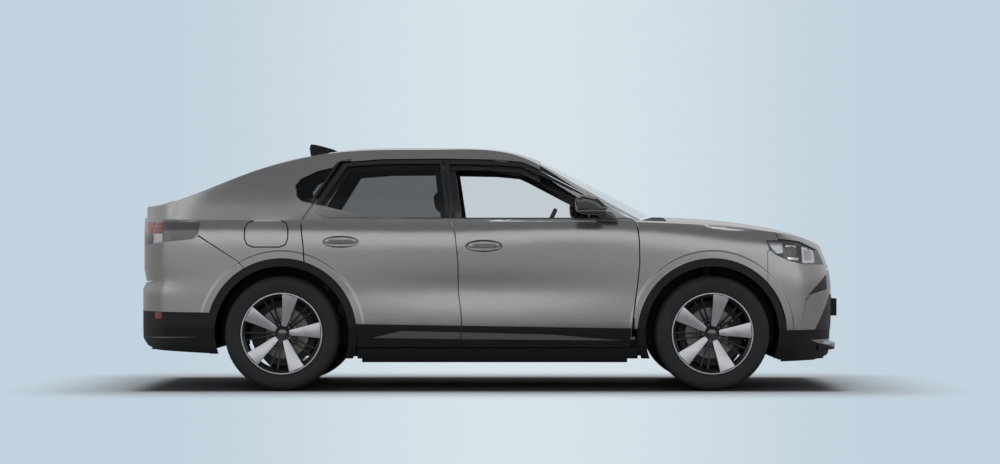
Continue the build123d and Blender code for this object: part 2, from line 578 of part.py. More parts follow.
def hub_carrier(x, caliper_angle):
    """Left hub carrier: upright, stub into the hub and a caliper round the disc's edge."""
    disc_in, disc_out = TRACK / 2 + DISC_IN, TRACK / 2 + DISC_OUT
    with BuildPart() as carrier:
        with BuildSketch(Plane.XZ.offset(-CARRIER_OUT)):
            with Locations((x, WHEEL_HEIGHT)):
                Circle(62)
            with Locations((x, WHEEL_HEIGHT + 120), (x, WHEEL_HEIGHT - 105)):
                Circle(30)
            with Locations((x, WHEEL_HEIGHT + 8)):
                Rectangle(58, 225)
        extrude(amount=CARRIER_OUT - CARRIER_IN)
        with BuildSketch(Plane.XZ.offset(-CARRIER_OUT - 50)):
            with Locations((x, WHEEL_HEIGHT)):
                Circle(BORE_RADIUS - FIT)
        extrude(amount=60)
        with BuildSketch(Plane.XZ.offset(-disc_out - DISC_CLEAR - 14)):
            with Locations(Location((x, WHEEL_HEIGHT), caliper_angle)):
                with Locations((150, 0)):
                    Rectangle(80, 150)
        extrude(amount=disc_out + DISC_CLEAR + 14 - (CARRIER_OUT - 12))
        with BuildSketch(Plane.XZ.offset(-disc_out - DISC_CLEAR)):
            with Locations((x, WHEEL_HEIGHT)):
                Circle(DISC_RADIUS + DISC_CLEAR)
        extrude(amount=disc_out - disc_in + 2 * DISC_CLEAR, mode=Mode.SUBTRACT)
        with BuildSketch(Plane.XZ.offset(-disc_in + DISC_CLEAR)):
            with Locations(Location((x, WHEEL_HEIGHT), caliper_angle)):
                with Locations((96, 0)):
                    Rectangle(52, 50)
        extrude(amount=disc_in - DISC_CLEAR - (CARRIER_OUT - 12))
        with BuildSketch(Plane.XZ.offset(-CARRIER_OUT)):
            with Locations(Location((x, WHEEL_HEIGHT), caliper_angle)):
                with Locations((75, 0)):
                    Rectangle(90, 50)
        extrude(amount=12)
        with BuildSketch(Plane.XY.offset(WHEEL_HEIGHT - 136)):
            with Locations((x, KINGPIN)):
                Circle(PIN_RADIUS + FIT)
        extrude(amount=26, mode=Mode.SUBTRACT)
    return carrier.part


def lower_arm(x, tip):
    """Left A-shaped lower arm in plan, ending under the hub carrier."""
    with BuildPart() as arm:
        with BuildSketch(Plane.XY.offset(WHEEL_HEIGHT - 105 - 30 - 24)):
            with BuildLine():
                Polyline((x + 24, tip), (x - 24, tip), (x - 34, 640), (x - 140, 360), (x - 100, 360),
                         (x - 5, 590), (x + 5, 590), (x + 100, 360), (x + 140, 360), (x + 34, 640), close=True)
            make_face()
        extrude(amount=18)
        with BuildSketch(Plane.XY.offset(WHEEL_HEIGHT - 105 - 30 - 24)):
            with Locations((x, KINGPIN)):
                Circle(24)
        extrude(amount=18)
        with BuildSketch(Plane.XY.offset(WHEEL_HEIGHT - 105 - 30 - 8)):
            with Locations((x, KINGPIN)):
                Circle(PIN_RADIUS)
        extrude(amount=28)
    return arm.part


def damper(x, foot, top, radius=26):
    """A leaning strut of two tubes between two (x, y, z) ends."""
    line = Edge.make_line(foot, top)
    start = Plane(origin=foot, z_dir=line.tangent_at(0))
    with BuildPart() as strut:
        with BuildSketch(start):
            Circle(radius)
        extrude(amount=line.length * 0.6)
        with BuildSketch(start.offset(line.length * 0.5)):
            Circle(radius * 1.7)
        extrude(amount=line.length * 0.5)
    return strut.part


ARM_TOP = WHEEL_HEIGHT - 105 - 30 - 6
carrier_front = hub_carrier(FRONT_AXLE, 0)
carrier_rear = hub_carrier(REAR_AXLE, 180)
front_frame = joined(
    block(926, 2150, 380, 452, 470, 550), block(2150, 2185, 0, 520, 470, 560),
    block(1180, 1760, 340, 400, 222, 300), block(1200, 1280, 0, 380, 222, 290),
    block(1660, 1740, 0, 380, 222, 290), block(1440, 1500, 340, 440, 300, 480),
    lower_arm(FRONT_AXLE, 712), damper(FRONT_AXLE, (FRONT_AXLE, 560, ARM_TOP - 6), (FRONT_AXLE - 20, 540, 860)),
    cut_from(block(FRONT_AXLE - 110, FRONT_AXLE + 80, 430, LINER_INNER - 1, 480, 880)),
    block(FRONT_AXLE - 110, FRONT_AXLE + 80, 430, 620, 860, 936))
front_frame = whole(front_frame)
rear_frame = joined(
    block(-2190, -1014, 380, 452, 440, 540), block(-2225, -2190, 0, 520, 440, 540),
    block(-1560, -1100, 340, 400, 222, 300), block(-1560, -1490, 0, 380, 222, 290),
    block(-1170, -1100, 0, 380, 222, 290), block(-1430, -1370, 340, 440, 300, 450),
    lower_arm(REAR_AXLE, 712), block(REAR_AXLE - 24, REAR_AXLE + 24, 690, 712, ARM_TOP - 1, ARM_TOP + 8),
    damper(REAR_AXLE, (REAR_AXLE - 64, 570, ARM_TOP - 6), (REAR_AXLE - 110, 530, 700)), carrier_rear)
rear_frame = whole(rear_frame)
drive_unit = joined(Pos(REAR_AXLE, 0, WHEEL_HEIGHT) * Rot(90, 0, 0) * Cylinder(128, 420),
                    block(REAR_AXLE - 150, REAR_AXLE + 240, -190, 190, 296, 440),
                    Pos(REAR_AXLE, 0, WHEEL_HEIGHT) * Rot(90, 0, 0) * Cylinder(16, 2 * CARRIER_IN))
battery = block(-830, 900, -640, 640, 175, FLOOR_BOTTOM)

# ---------------------------------------------------------------- cabin furniture
def profile_piece(points, y0, y1, radius=0):
    """A side profile pulled across the car between two widths, with rounded long edges."""
    with BuildPart() as piece:
        with BuildSketch(Plane.XZ.offset(-y1)):
            with BuildLine():
                Polyline(*points, close=True)
            make_face()
        extrude(amount=y1 - y0)
        if radius:
            fillet(piece.edges().filter_by(Axis.Y), radius)
    return piece.part


SEAT_Y = 370
SEAT_HALF = 250


def front_seat(y):
    cushion = profile_piece([(330, 470), (330, 560), (260, 575), (-150, 540), (-190, 470)],
                            y - SEAT_HALF, y + SEAT_HALF, 30)
    back = profile_piece([(-110, 515), (-60, 600), (-230, 1120), (-330, 1120), (-230, 540), (-180, 515)],
                         y - SEAT_HALF, y + SEAT_HALF, 30)
    head = profile_piece([(-262, 1150), (-300, 1300), (-390, 1300), (-360, 1150)], y - 130, y + 130, 25)
    base = block(-170, 300, y - 210, y + 210, FLOOR_TOP, 470)
    posts = block(-320, -300, y - 70, y - 55, 1110, 1160) + block(-320, -300, y + 55, y + 70, 1110, 1160)
    return joined(cushion, back, head, base, posts)


front_seats = joined(front_seat(SEAT_Y), front_seat(-SEAT_Y))
bench_base = profile_piece([(-560, FLOOR_TOP), (-560, 470), (-935, 470), (-935, FLOOR_TOP)], 0, 620)
bench_seat = profile_piece([(-530, 470), (-530, 580), (-600, 600), (-1000, 560), (-1010, 470)], 0, 640, 25)
bench_back = profile_piece([(-1000, 562), (-960, 640), (-1130, 1130), (-1220, 1130), (-1090, 580)], 0, 640, 25)
bench_head = profile_piece([(-1150, 1150), (-1175, 1260), (-1245, 1260), (-1235, 1150)], 230, 470, 20)
bench_posts = block(-1205, -1190, 280, 295, 1110, 1170) + block(-1205, -1190, 405, 420, 1110, 1170)
rear_bench = cut_from(joined(bench_base, bench_seat, bench_back, bench_head, bench_posts),
                      away=[across(disc(REAR_AXLE, ARCH_TRIM_RADIUS + 16), LINER_INNER - 4)])
rear_bench = whole(rear_bench)
dash_line = [(905, 700), (905, 1036), (860, 1078), (700, 1092), (560, 1070), (500, 1010), (520, 930),
             (640, 860), (700, 700)]
dash = cut_from(profile_piece(dash_line, -700, 700, 20),
                away=[block(800, 920, 633, 710, 850, 1200), block(800, 920, -710, -633, 850, 1200)])
console = profile_piece([(640, FLOOR_TOP), (660, 800), (520, 800), (380, 620), (-130, 590), (-130, FLOOR_TOP)],
                        -105, 105, 15)
WHEEL_CENTRE = (372, SEAT_Y, 1032)
COLUMN_TILT = 25
column_plane = Plane(origin=WHEEL_CENTRE, x_dir=(0, 1, 0),
                     z_dir=(-math.cos(math.radians(COLUMN_TILT)), 0, math.sin(math.radians(COLUMN_TILT))))
ring_normal = column_plane.x_dir.cross(column_plane.z_dir)
with BuildPart() as column:
    with BuildSketch(column_plane.offset(-16 - FIT)):
        Circle(32)
    extrude(amount=-214)
dashboard = joined(dash, console, column.part)
with BuildPart() as steering_wheel:
    with BuildSketch(Plane(origin=WHEEL_CENTRE, x_dir=(0, 1, 0), z_dir=ring_normal)):
        with Locations((170, 0)):
            RegularPolygon(15, 6)
    revolve(axis=Axis(WHEEL_CENTRE, column_plane.z_dir))
    with BuildSketch(column_plane.offset(-16)):
        Rectangle(344, 40)
        with Locations((0, -60)):
            Rectangle(44, 190)
        Circle(62)
    extrude(amount=24)
steering_wheel = steering_wheel.part

# ---------------------------------------------------------------- mirrors and fin
with BuildPart() as mirror_shape:
    with BuildSketch(Plane.XZ.offset(-915)):
        with BuildLine():
            Polyline((560, 1150), (552, 1235), (600, 1262), (690, 1240), (760, 1180), (740, 1135), (640, 1128),
                     close=True)
        make_face()
    extrude(amount=-160)
    chamfer(mirror_shape.faces().sort_by(Axis.Y)[-1].edges(), 24)
mirror_foot = profile_piece([(835, 1096), (790, 1150), (700, 1165), (690, 1135), (760, 1096)], 838, 925)
mirror_left = joined(mirror_shape.part, mirror_foot)
with BuildPart() as fin:
    with BuildSketch(Plane.XZ.offset(-22)):
        with BuildLine():
            Polyline((-1010, 1560), (-1060, 1590), (-1130, 1610), (-1188, 1624), (-1218, 1626), (-1226, 1600),
                     (-1218, 1545), (-1100, 1545), close=True)
        make_face()
    extrude(amount=22)

# ---------------------------------------------------------------- export
PIECES = {
    "floor_pan": whole(main_solid(floor_half)),
    "cargo_tub": whole(cargo_tub),
    "bay_cover": bay_cover,
    "battery_pack": battery,
    "front_frame": front_frame,
    "rear_frame": rear_frame,
    "drive_unit": drive_unit,
    "side_frame_left": side_frame,
    "side_frame_right": mirrored(charge_side),
    "roof_panel": roof_panel,
    "roof_glass": roof_glass,
    "cowl": cowl,
    "fenders": joined(fender, mirrored(fender)),
    "front_bumper": front_bumper,
    "front_lower_trim": front_trim,
    "rear_bumper": rear_bumper,
    "rear_lower_trim": rear_trim,
    "sill_trims": joined(sill_trim, mirrored(sill_trim)),
    "arch_trims": joined(arch_trim, mirrored(arch_trim)),
    "wheel_liners": joined(*liners, *[mirrored(liner) for liner in liners]),
    "windscreen": windscreen,
    "quarter_glass": None,
    "headlamps": joined(headlamp, mirrored(headlamp)),
    "tail_lamps": joined(tail_lamp, mirrored(tail_lamp)),
    "front_seats": front_seats,
    "rear_bench": rear_bench,
    "dashboard": dashboard,
    "steering_wheel": steering_wheel,
    "roof_fin": whole(cut_from(fin.part, away=[CABIN[0]])),
    "bonnet": bonnet,
    "tailgate": tailgate,
    "rear_glass": rear_glass,
    "tailgate_lamps": joined(gate_lamp, mirrored(gate_lamp)),
    "charge_flap": mirrored(charge_flap),
    "charge_port": mirrored(charge_port),
}
quarter_glass = main_solid(cut_from(WINDOW_PANE, keep=[across(grown(QUARTER, -0.5), 400)]))
PIECES["quarter_glass"] = joined(quarter_glass, mirrored(quarter_glass))
side_pieces = {
    "door_front": door_front,
    "door_rear": door_rear,
    "glass_front": pane(GLASS_FRONT),
    "glass_rear": pane(GLASS_REAR),
    "mirror": mirror_left,
    "knuckle": carrier_front,
}
for name, piece in side_pieces.items():
    PIECES[name + "_left"] = piece
    PIECES[name + "_right"] = mirrored(piece)
for place, x in zip(("front", "rear"), AXLES):
    for hand, side in SIDES.items():
        PIECES["wheel_%s_%s" % (place, hand)] = wheel_at(wheel_shape, x, side)
        PIECES["tyre_%s_%s" % (place, hand)] = wheel_at(tyre_shape, x, side)

os.makedirs("parts", exist_ok=True)
for name, piece in PIECES.items():
    piece.label = name
    export_step(piece, "parts/%s.step" % name)
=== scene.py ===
"""Looks of the electric coupe SUV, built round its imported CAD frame."""
import json
import math

import bmesh
import bpy
import numpy
from mathutils import Matrix, Vector, kdtree


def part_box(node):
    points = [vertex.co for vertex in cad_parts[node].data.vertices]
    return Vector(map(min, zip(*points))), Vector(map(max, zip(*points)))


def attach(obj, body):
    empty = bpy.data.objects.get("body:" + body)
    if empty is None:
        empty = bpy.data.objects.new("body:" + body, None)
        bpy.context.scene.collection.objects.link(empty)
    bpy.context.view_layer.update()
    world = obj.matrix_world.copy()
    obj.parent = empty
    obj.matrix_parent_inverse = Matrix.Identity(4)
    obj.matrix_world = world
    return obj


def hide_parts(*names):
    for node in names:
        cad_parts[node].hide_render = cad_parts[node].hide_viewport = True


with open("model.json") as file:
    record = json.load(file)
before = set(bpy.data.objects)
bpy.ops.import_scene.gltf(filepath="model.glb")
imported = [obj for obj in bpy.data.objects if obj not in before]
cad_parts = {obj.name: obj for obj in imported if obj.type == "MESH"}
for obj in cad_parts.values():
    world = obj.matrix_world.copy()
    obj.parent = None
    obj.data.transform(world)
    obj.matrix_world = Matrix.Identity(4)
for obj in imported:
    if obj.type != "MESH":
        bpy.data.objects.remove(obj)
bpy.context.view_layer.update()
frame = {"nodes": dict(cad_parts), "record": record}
nodes = frame["nodes"]


# ======== camera
# A long lens at the height of the doors, level and square on to the car's right side. Its shift
# alone sets the car in the frame.
def in_scene(name, data):
    """Data as an object in the scene, at the origin."""
    piece = bpy.data.objects.new(name, data)
    bpy.context.scene.collection.objects.link(piece)
    return piece


camera_data = bpy.data.cameras.new("side_camera")
camera_data.sensor_width = 36
camera_data.lens = 87.5
camera_data.shift_x = -0.0216
camera_data.shift_y = 0.0268
camera_data.clip_end = 200
camera = in_scene("side_camera", camera_data)
camera.location = (0.211, -16.5, 0.85)
camera.rotation_euler = (math.radians(90), 0, 0)
bpy.context.scene.camera = camera


# ======== studio floor and backdrop
# A seamless pale sheet: flat under the car, far larger than it, and curved up into a wall. The car
# shades it close by, and its colour is also painted darker under the car, a painted shadow. Further
# off it glows with an even strength, its colour painted paler in the middle of the view and darker
# at the edges: a painted pool of light.
class Signal:
    """One output of a shader node, which can be written in sums."""

    def __init__(self, finish, socket):
        self.finish, self.socket = finish, socket

    def _sum(self, operation, first, second):
        return self.finish.node("Math", {"operation": operation}, {0: first, 1: second})

    def __add__(self, other):
        return self._sum("ADD", self, other)

    def __sub__(self, other):
        return self._sum("SUBTRACT", self, other)

    def __rsub__(self, other):
        return self._sum("SUBTRACT", other, self)

    def __mul__(self, other):
        return self._sum("MULTIPLY", self, other)

    def __truediv__(self, other):
        return self._sum("DIVIDE", self, other)

    def __abs__(self):
        return self._sum("ABSOLUTE", self, 0)

    def over(self, other):
        """What a value has above another, and 0 where it has less."""
        return self._sum("MAXIMUM", self - other, 0)

    def root(self):
        return self._sum("SQRT", self, 0)

    def ramp(self, low, high):
        """0 up to low, 1 from high on, and a smooth curve between; low may be above high."""
        return self.finish.node("MapRange", {"interpolation_type": "SMOOTHSTEP"}, {0: self, 1: low, 2: high})

    __radd__ = __add__
    __rmul__ = __mul__


class Finish:
    """A surface finish: one Principled shader and the nodes that vary it."""

    def __init__(self, name, **sockets):
        self.material = bpy.data.materials.new(name)
        self.material.use_nodes = True
        self.tree = self.material.node_tree
        self.shader = self.tree.nodes["Principled BSDF"]
        self.output = self.tree.nodes["Material Output"]
        for key, value in sockets.items():
            self.set(key.replace("_", " ").title().replace("Ior", "IOR"), value)

    def feed(self, socket, value):
        if isinstance(value, Signal):
            self.tree.links.new(value.socket, socket)
        elif socket.type == "RGBA":
            socket.default_value = (*value, 1)
        else:
            socket.default_value = value

    def node(self, kind, settings=None, sockets=None, out=0):
        """A node of a kind; its settings first, then the values or links of its sockets."""
        made = self.tree.nodes.new("ShaderNode" + kind)
        for key, value in (settings or {}).items():
            setattr(made, key, value)
        for key, value in (sockets or {}).items():
            self.feed(made.inputs[key], value)
        return Signal(self, made.outputs[out])

    def set(self, socket, value):
        self.feed(self.shader.inputs[socket], value)

    def place(self):
        return self.node("TexCoord", out="Object")

    def axes(self):
        """The three Object coordinates, each as a signal."""
        split = self.node("SeparateXYZ", sockets={0: self.place()})
        return [Signal(self, s) for s in split.socket.node.outputs]

    def noise(self, scale, detail, stretch=None):
        where = self.place()
        if stretch:
            where = self.node("Mapping", sockets={"Vector": where, "Scale": stretch})
        return self.node("TexNoise", sockets={"Vector": where, "Scale": scale, "Detail": detail})

    def cells(self, feature, scale):
        return self.node("TexVoronoi", {"feature": feature}, {"Vector": self.place(), "Scale": scale})

    def stripes(self, axis, scale):
        return self.node("TexWave", {"bands_direction": axis}, {"Vector": self.place(), "Scale": scale})

    def blend(self, mask, first, second):
        """Colour first where mask is 0 and second where it is 1."""
        return self.node("Mix", {"data_type": "RGBA"}, {0: mask, 6: first, 7: second}, out=2)

    def bump(self, height, strength, distance):
        self.set("Normal", self.node("Bump", sockets={
            "Height": height, "Strength": strength, "Distance": distance}))


def shaded(colour, share):
    """A colour made darker or paler by a share."""
    return tuple(share * c for c in colour)


def mesh_data(mesh, name):
    """A bmesh as mesh data, which uses it up."""
    data = bpy.data.meshes.new(name)
    mesh.to_mesh(data)
    mesh.free()
    return data


def keep_mesh(mesh, name, *finishes):
    """A bmesh as a new object in the scene, at the origin, with its finishes and crisp edges."""
    for face in mesh.faces:
        face.smooth = True
    data = mesh_data(mesh, name)
    data.set_sharp_from_angle(angle=math.radians(30))
    for finish in finishes:
        data.materials.append(finish.material)
    return in_scene(name, data)


SHEET_LINE = [(0.001, 0, 0), (6, 0, 0), (24, 0, 0), (34, 0, 1), (41, 0, 5), (46, 0, 14), (47, 0, 40)]
sheet_mesh = bmesh.new()
sheet_line = [sheet_mesh.verts.new(place) for place in SHEET_LINE]
sheet_edges = [sheet_mesh.edges.new(pair) for pair in zip(sheet_line, sheet_line[1:])]
bmesh.ops.spin(sheet_mesh, geom=sheet_line + sheet_edges, cent=(0, 0, 0), axis=(0, 0, 1),
               angle=2 * math.pi, steps=96, use_merge=True)
bmesh.ops.remove_doubles(sheet_mesh, verts=sheet_mesh.verts, dist=1e-4)
bmesh.ops.recalc_face_normals(sheet_mesh, faces=sheet_mesh.faces)

FLOOR_COLOUR, NEUTRAL_COLOUR = (0.72, 0.76, 0.79), (0.66, 0.665, 0.68)
DIM_EDGE_COLOUR, LIT_MIDDLE_COLOUR = (0.539, 0.651, 0.738), (0.687, 0.763, 0.812)
# The floor under the car and a short reach round it is painted darker, to a share of its own colour: a painted
# shadow.
COVERED_WIDTH, COVERED_LENGTH = 0.80, 2.15
PAINTED_SHADE_SHARE, PAINTED_SHADE_REACH, GLOW_FROM, GLOW_FULL = 0.15, 0.25, 0.02, 1.1
DIM, PALE, BRIGHT = 0.32, 0.44, 1.05
sheet = Finish("pale_sheet", base_color=FLOOR_COLOUR, roughness=0.9, specular_ior_level=0.1)
east, north, height = sheet.axes()
beside, ahead = abs(north).over(COVERED_WIDTH), abs(east).over(COVERED_LENGTH)
apart = (beside * beside + ahead * ahead).root()
distance = (east * east + north * north).root()
slope = height / distance
# In gloss the sheet is dim near the car, paler further off and brightest in a band above the floor,
# and it fades towards the car's left side.
near_side = 0.35 + 0.65 * north.ramp(6, -6)
band = slope.ramp(0.04, 0.14) * slope.ramp(0.84, 0.50)
reflected = DIM + (PALE * distance.ramp(2.2, 6.5) + BRIGHT * band) * near_side
# Seen straight on, the backdrop's colour is painted paler in the middle of the view and darker and bluer
# towards its edges: a painted pool of light.
sideways = abs((east - camera.location.x) / (north - camera.location.y))
backdrop = sheet.blend(sideways.ramp(0.155, 0.01), DIM_EDGE_COLOUR, LIT_MIDDLE_COLOUR)
ray = sheet.node("LightPath").socket.node.outputs
seen, spread_light, gloss_light, through = (
    Signal(sheet, ray["Is %s Ray" % kind]) for kind in ("Camera", "Diffuse", "Glossy", "Transmission"))
glow = sheet.node("Emission", sockets={
    "Color": sheet.blend(seen + through, NEUTRAL_COLOUR, backdrop),
    "Strength": seen + through + gloss_light * reflected + 0.5 * spread_light}, out="Emission")
# The floor's own colour is painted darker under the car, fading out just beyond it: a painted shadow.
sheet.set("Base Color", sheet.blend(
    apart.ramp(PAINTED_SHADE_REACH, 0.0), FLOOR_COLOUR, shaded(FLOOR_COLOUR, PAINTED_SHADE_SHARE)))
mixed = sheet.node("MixShader", sockets={
    0: apart.ramp(GLOW_FROM, GLOW_FULL), 1: Signal(sheet, sheet.shader.outputs[0]), 2: glow})
sheet.tree.links.new(mixed.socket, sheet.output.inputs["Surface"])
keep_mesh(sheet_mesh, "studio_sheet", sheet)

sky = bpy.data.worlds.new("pale_sky")
sky.use_nodes = True
sky.node_tree.nodes["Background"].inputs["Color"].default_value = (0.84, 0.87, 0.92, 1)
sky.node_tree.nodes["Background"].inputs["Strength"].default_value = 0.30
bpy.context.scene.world = sky
bpy.context.scene.view_settings.view_transform = "Standard"

# ======== studio lights
# Soft boxes, each given as its place, turn, size and power: a long one overhead and wide ones set
# back and high on each side and at each end. Only the one overhead shows in gloss.
LIGHTS = {
    "roof_light": ((0, 0, 7), (0, 0, 0), (7, 2), 80),
    "near_light": ((0, -10, 4.2), (70, 0, 0), (14, 3.4), 210),
    "far_light": ((0, 10, 4.2), (-70, 0, 0), (14, 3.4), 210),
    "nose_light": ((11, 0, 4.2), (0, 70, 0), (3.4, 9), 90),
    "tail_light": ((-11, 0, 4.2), (0, -70, 0), (3.4, 9), 90),
}
for name, (place, turn, size, power) in LIGHTS.items():
    light_data = bpy.data.lights.new(name, "AREA")
    light_data.shape = "RECTANGLE"
    light_data.size, light_data.size_y = size
    light_data.energy = power
    light = in_scene(name, light_data)
    light.location = place
    light.rotation_euler = [math.radians(a) for a in turn]
    light.visible_glossy = name == "roof_light"

# ======== painted body panels
# Pressed steel and plastic panels in one metallic silver-grey under clear lacquer. Each is the CAD
# panel with its facets joined up and its shine smoothed over the whole body, across the gaps. The
# doors are grained below the sill line and black round their glass, with a cup behind each handle.
PAINTED = ("side_frame_left", "side_frame_right", "roof_panel", "fenders", "front_bumper", "rear_bumper",
           "bonnet", "tailgate", "charge_flap", "door_front_left", "door_front_right", "door_rear_left",
           "door_rear_right")
PAINTED_INSIDE = ("fenders", "front_bumper", "rear_bumper", "charge_flap")
PAINT_COLOUR = (0.345, 0.337, 0.332)
RIDGE_OUTER, RIDGE_INNER, RIDGE_HEIGHT, RIDGE_SIDE = 0.540, 0.522, 0.009, (0.70, 0.80)
SIDES = {"left": 1, "right": -1}
X, Y, Z = Vector((1, 0, 0)), Vector((0, 1, 0)), Vector((0, 0, 1))


def tyre_middle(end, side):
    low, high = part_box("tyre_%s_%s" % (end, side))
    return (low + high) / 2


paint = Finish("silver_grey_paint", metallic=0.8, roughness=0.26, coat_weight=1.0, coat_roughness=0.03)
flakes = paint.noise(1400, detail=1)
paint.set("Base Color", paint.blend(flakes, shaded(PAINT_COLOUR, 0.85), shaded(PAINT_COLOUR, 1.15)))
along, aside, up = paint.axes()
ridges = []
for axle in (tyre_middle("front", "left"), tyre_middle("rear", "left")):
    radius = ((along - axle.x) * (along - axle.x) + (up - axle.z) * (up - axle.z)).root()
    ridges.append(radius.ramp(RIDGE_OUTER, RIDGE_INNER))
paint.bump((ridges[0] + ridges[1]) * abs(aside).ramp(*RIDGE_SIDE), 1.0, RIDGE_HEIGHT)
cladding = Finish("grained_cladding", base_color=(0.009, 0.009, 0.0105), roughness=0.55,
                  specular_ior_level=0.3)
grain = cladding.noise(900, detail=3)
cladding.set("Roughness", 0.46 + 0.16 * grain)
cladding.bump(grain, 0.25, 0.0004)
frame_black = Finish("window_frame_black", base_color=(0.008, 0.008, 0.009), roughness=0.22, coat_weight=0.6)


def as_bmesh(data):
    mesh = bmesh.new()
    mesh.from_mesh(data)
    return mesh


def merged_copy(node):
    """A node's mesh with its facets joined up, as a bmesh."""
    mesh = as_bmesh(nodes[node].data)
    bmesh.ops.remove_doubles(mesh, verts=mesh.verts, dist=2e-5)
    return mesh


def settled(piece):
    """New mesh data of what a piece's modifiers make of it."""
    bpy.context.view_layer.update()
    return bpy.data.meshes.new_from_object(piece.evaluated_get(bpy.context.evaluated_depsgraph_get()))


SPINE_END, SPINE_HEIGHT = 1.7, 0.75
OUTER_FACE, SKIN_FACE, INNER_FACE = 0.2, 0.25, -0.3


def faces_out(centre, normal):
    """How far a surface looks away from the middle of the car, from -1 to 1."""
    spine = Vector((min(max(centre.x, -SPINE_END), SPINE_END), 0, SPINE_HEIGHT))
    return normal.dot((centre - spine).normalized())


def outward(face):
    return faces_out(face.calc_center_median(), face.normal)


def refined(mesh, longest=0.07, rounds=4):
    """Splits the long edges of the outer faces, so that their shine can be set closely."""
    for _ in range(rounds):
        coarse = [e for e in mesh.edges
                  if e.calc_length() > longest and any(outward(f) > OUTER_FACE for f in e.link_faces)]
        if not coarse:
            break
        bmesh.ops.subdivide_edges(mesh, edges=coarse, cuts=1)
        bmesh.ops.triangulate(mesh, faces=[f for f in mesh.faces if len(f.verts) > 3])


EVEN_STEPS = (0.7548776662, 0.5698402910)


def skin_samples(meshes, spacing=0.013):
    """Points spread over the outward faces of meshes by even steps, with their normals and areas."""
    points, normals, weights, turn = [], [], [], 0
    for mesh in meshes:
        for face in mesh.faces:
            area = face.calc_area()
            if area < 1e-6 or outward(face) < SKIN_FACE:
                continue
            corners = [v.co for v in face.verts]
            count = max(1, round(area / spacing**2))
            for _ in range(count):
                turn += 1
                a, b = (turn * step % 1 for step in EVEN_STEPS)
                if a + b > 1:
                    a, b = 1 - a, 1 - b
                points.append(corners[0] + (corners[1] - corners[0]) * a + (corners[2] - corners[0]) * b)
                normals.append(face.normal.copy())
                weights.append(area / count)
    return points, numpy.array(normals), numpy.array(weights)


def shine_field(meshes, reach=0.10, alike=0.8):
    """A function that gives the smoothed outward direction of the body's surface near a point."""
    points, normals, weights = skin_samples(meshes)
    tree = kdtree.KDTree(len(points))
    for index, point in enumerate(points):
        tree.insert(point, index)
    tree.balance()

    def direction(point, guess):
        found = tree.find_range(point, reach)
        if not found:
            return None
        index = [f[1] for f in found]
        fall = numpy.exp(-numpy.array([f[2] for f in found]) ** 2 / (0.5 * reach) ** 2)
        agree = normals[index] @ numpy.array(guess) > alike
        if not agree.any():
            return None
        total = (normals[index] * (weights[index] * fall * agree)[:, None]).sum(0)
        return total / numpy.linalg.norm(total)

    return direction


def shine(piece, direction):
    """Sets a panel's normals: smooth over its outer face, plain on its edges and inner faces."""
    data = piece.data
    data.set_sharp_from_angle(angle=math.radians(28))
    corner = numpy.empty(len(data.loops) * 3)
    data.corner_normals.foreach_get("vector", corner)
    corner = corner.reshape(-1, 3)
    known = {}
    for face in data.polygons:
        if faces_out(face.center, face.normal) < OUTER_FACE:
            continue
        for loop in face.loop_indices:
            vertex = data.loops[loop].vertex_index
            key = (vertex, *(round(part, 1) for part in face.normal))
            if key not in known:
                known[key] = direction(data.vertices[vertex].co, face.normal)
            if known[key] is not None:
                corner[loop] = known[key]
    data.normals_split_custom_set(corner.tolist())


def sliced(mesh, point, normal, near=1e-6, **how):
    """Cuts a whole bmesh along a plane."""
    bmesh.ops.bisect_plane(mesh, geom=mesh.verts[:] + mesh.edges[:] + mesh.faces[:], dist=near,
                           plane_co=point, plane_no=normal, **how)


def plane(x, z, normal):
    return Vector((x, 0, z)), Vector(normal)


def parted(mesh, slot, planes):
    """Cuts a mesh along planes and gives what lies beyond all of them a material slot."""
    for point, normal in planes:
        sliced(mesh, point, normal, near=1e-5)
    bmesh.ops.triangulate(mesh, faces=mesh.faces)
    for face in mesh.faces:
        if all((face.calc_center_median() - point).dot(normal) > 0 for point, normal in planes):
            face.material_index = slot


CUP_SIZE = Vector((0.120, 0.034, 0.040))
HANDLES = {"front": Vector((-0.031, 0.922, 0.933)), "rear": Vector((-0.951, 0.922, 0.960))}


def press_cup(panel, centre):
    """Sinks a shallow cup into a door's skin, behind its handle."""
    cup_mesh = bmesh.new()
    bmesh.ops.create_uvsphere(cup_mesh, u_segments=48, v_segments=24, radius=1)
    bmesh.ops.scale(cup_mesh, vec=CUP_SIZE, verts=cup_mesh.verts)
    bmesh.ops.translate(cup_mesh, vec=centre, verts=cup_mesh.verts)
    cup = keep_mesh(cup_mesh, "cup")
    cut = panel.modifiers.new("cup", "BOOLEAN")
    cut.object, cut.operation, cut.solver = cup, "DIFFERENCE", "EXACT"
    cupped = settled(panel)
    panel.modifiers.clear()
    panel.data = cupped
    bpy.data.objects.remove(cup)


def body_of(node):
    return next(name for name, members in frame["record"]["behaviour"]["bodies"].items() if node in members)


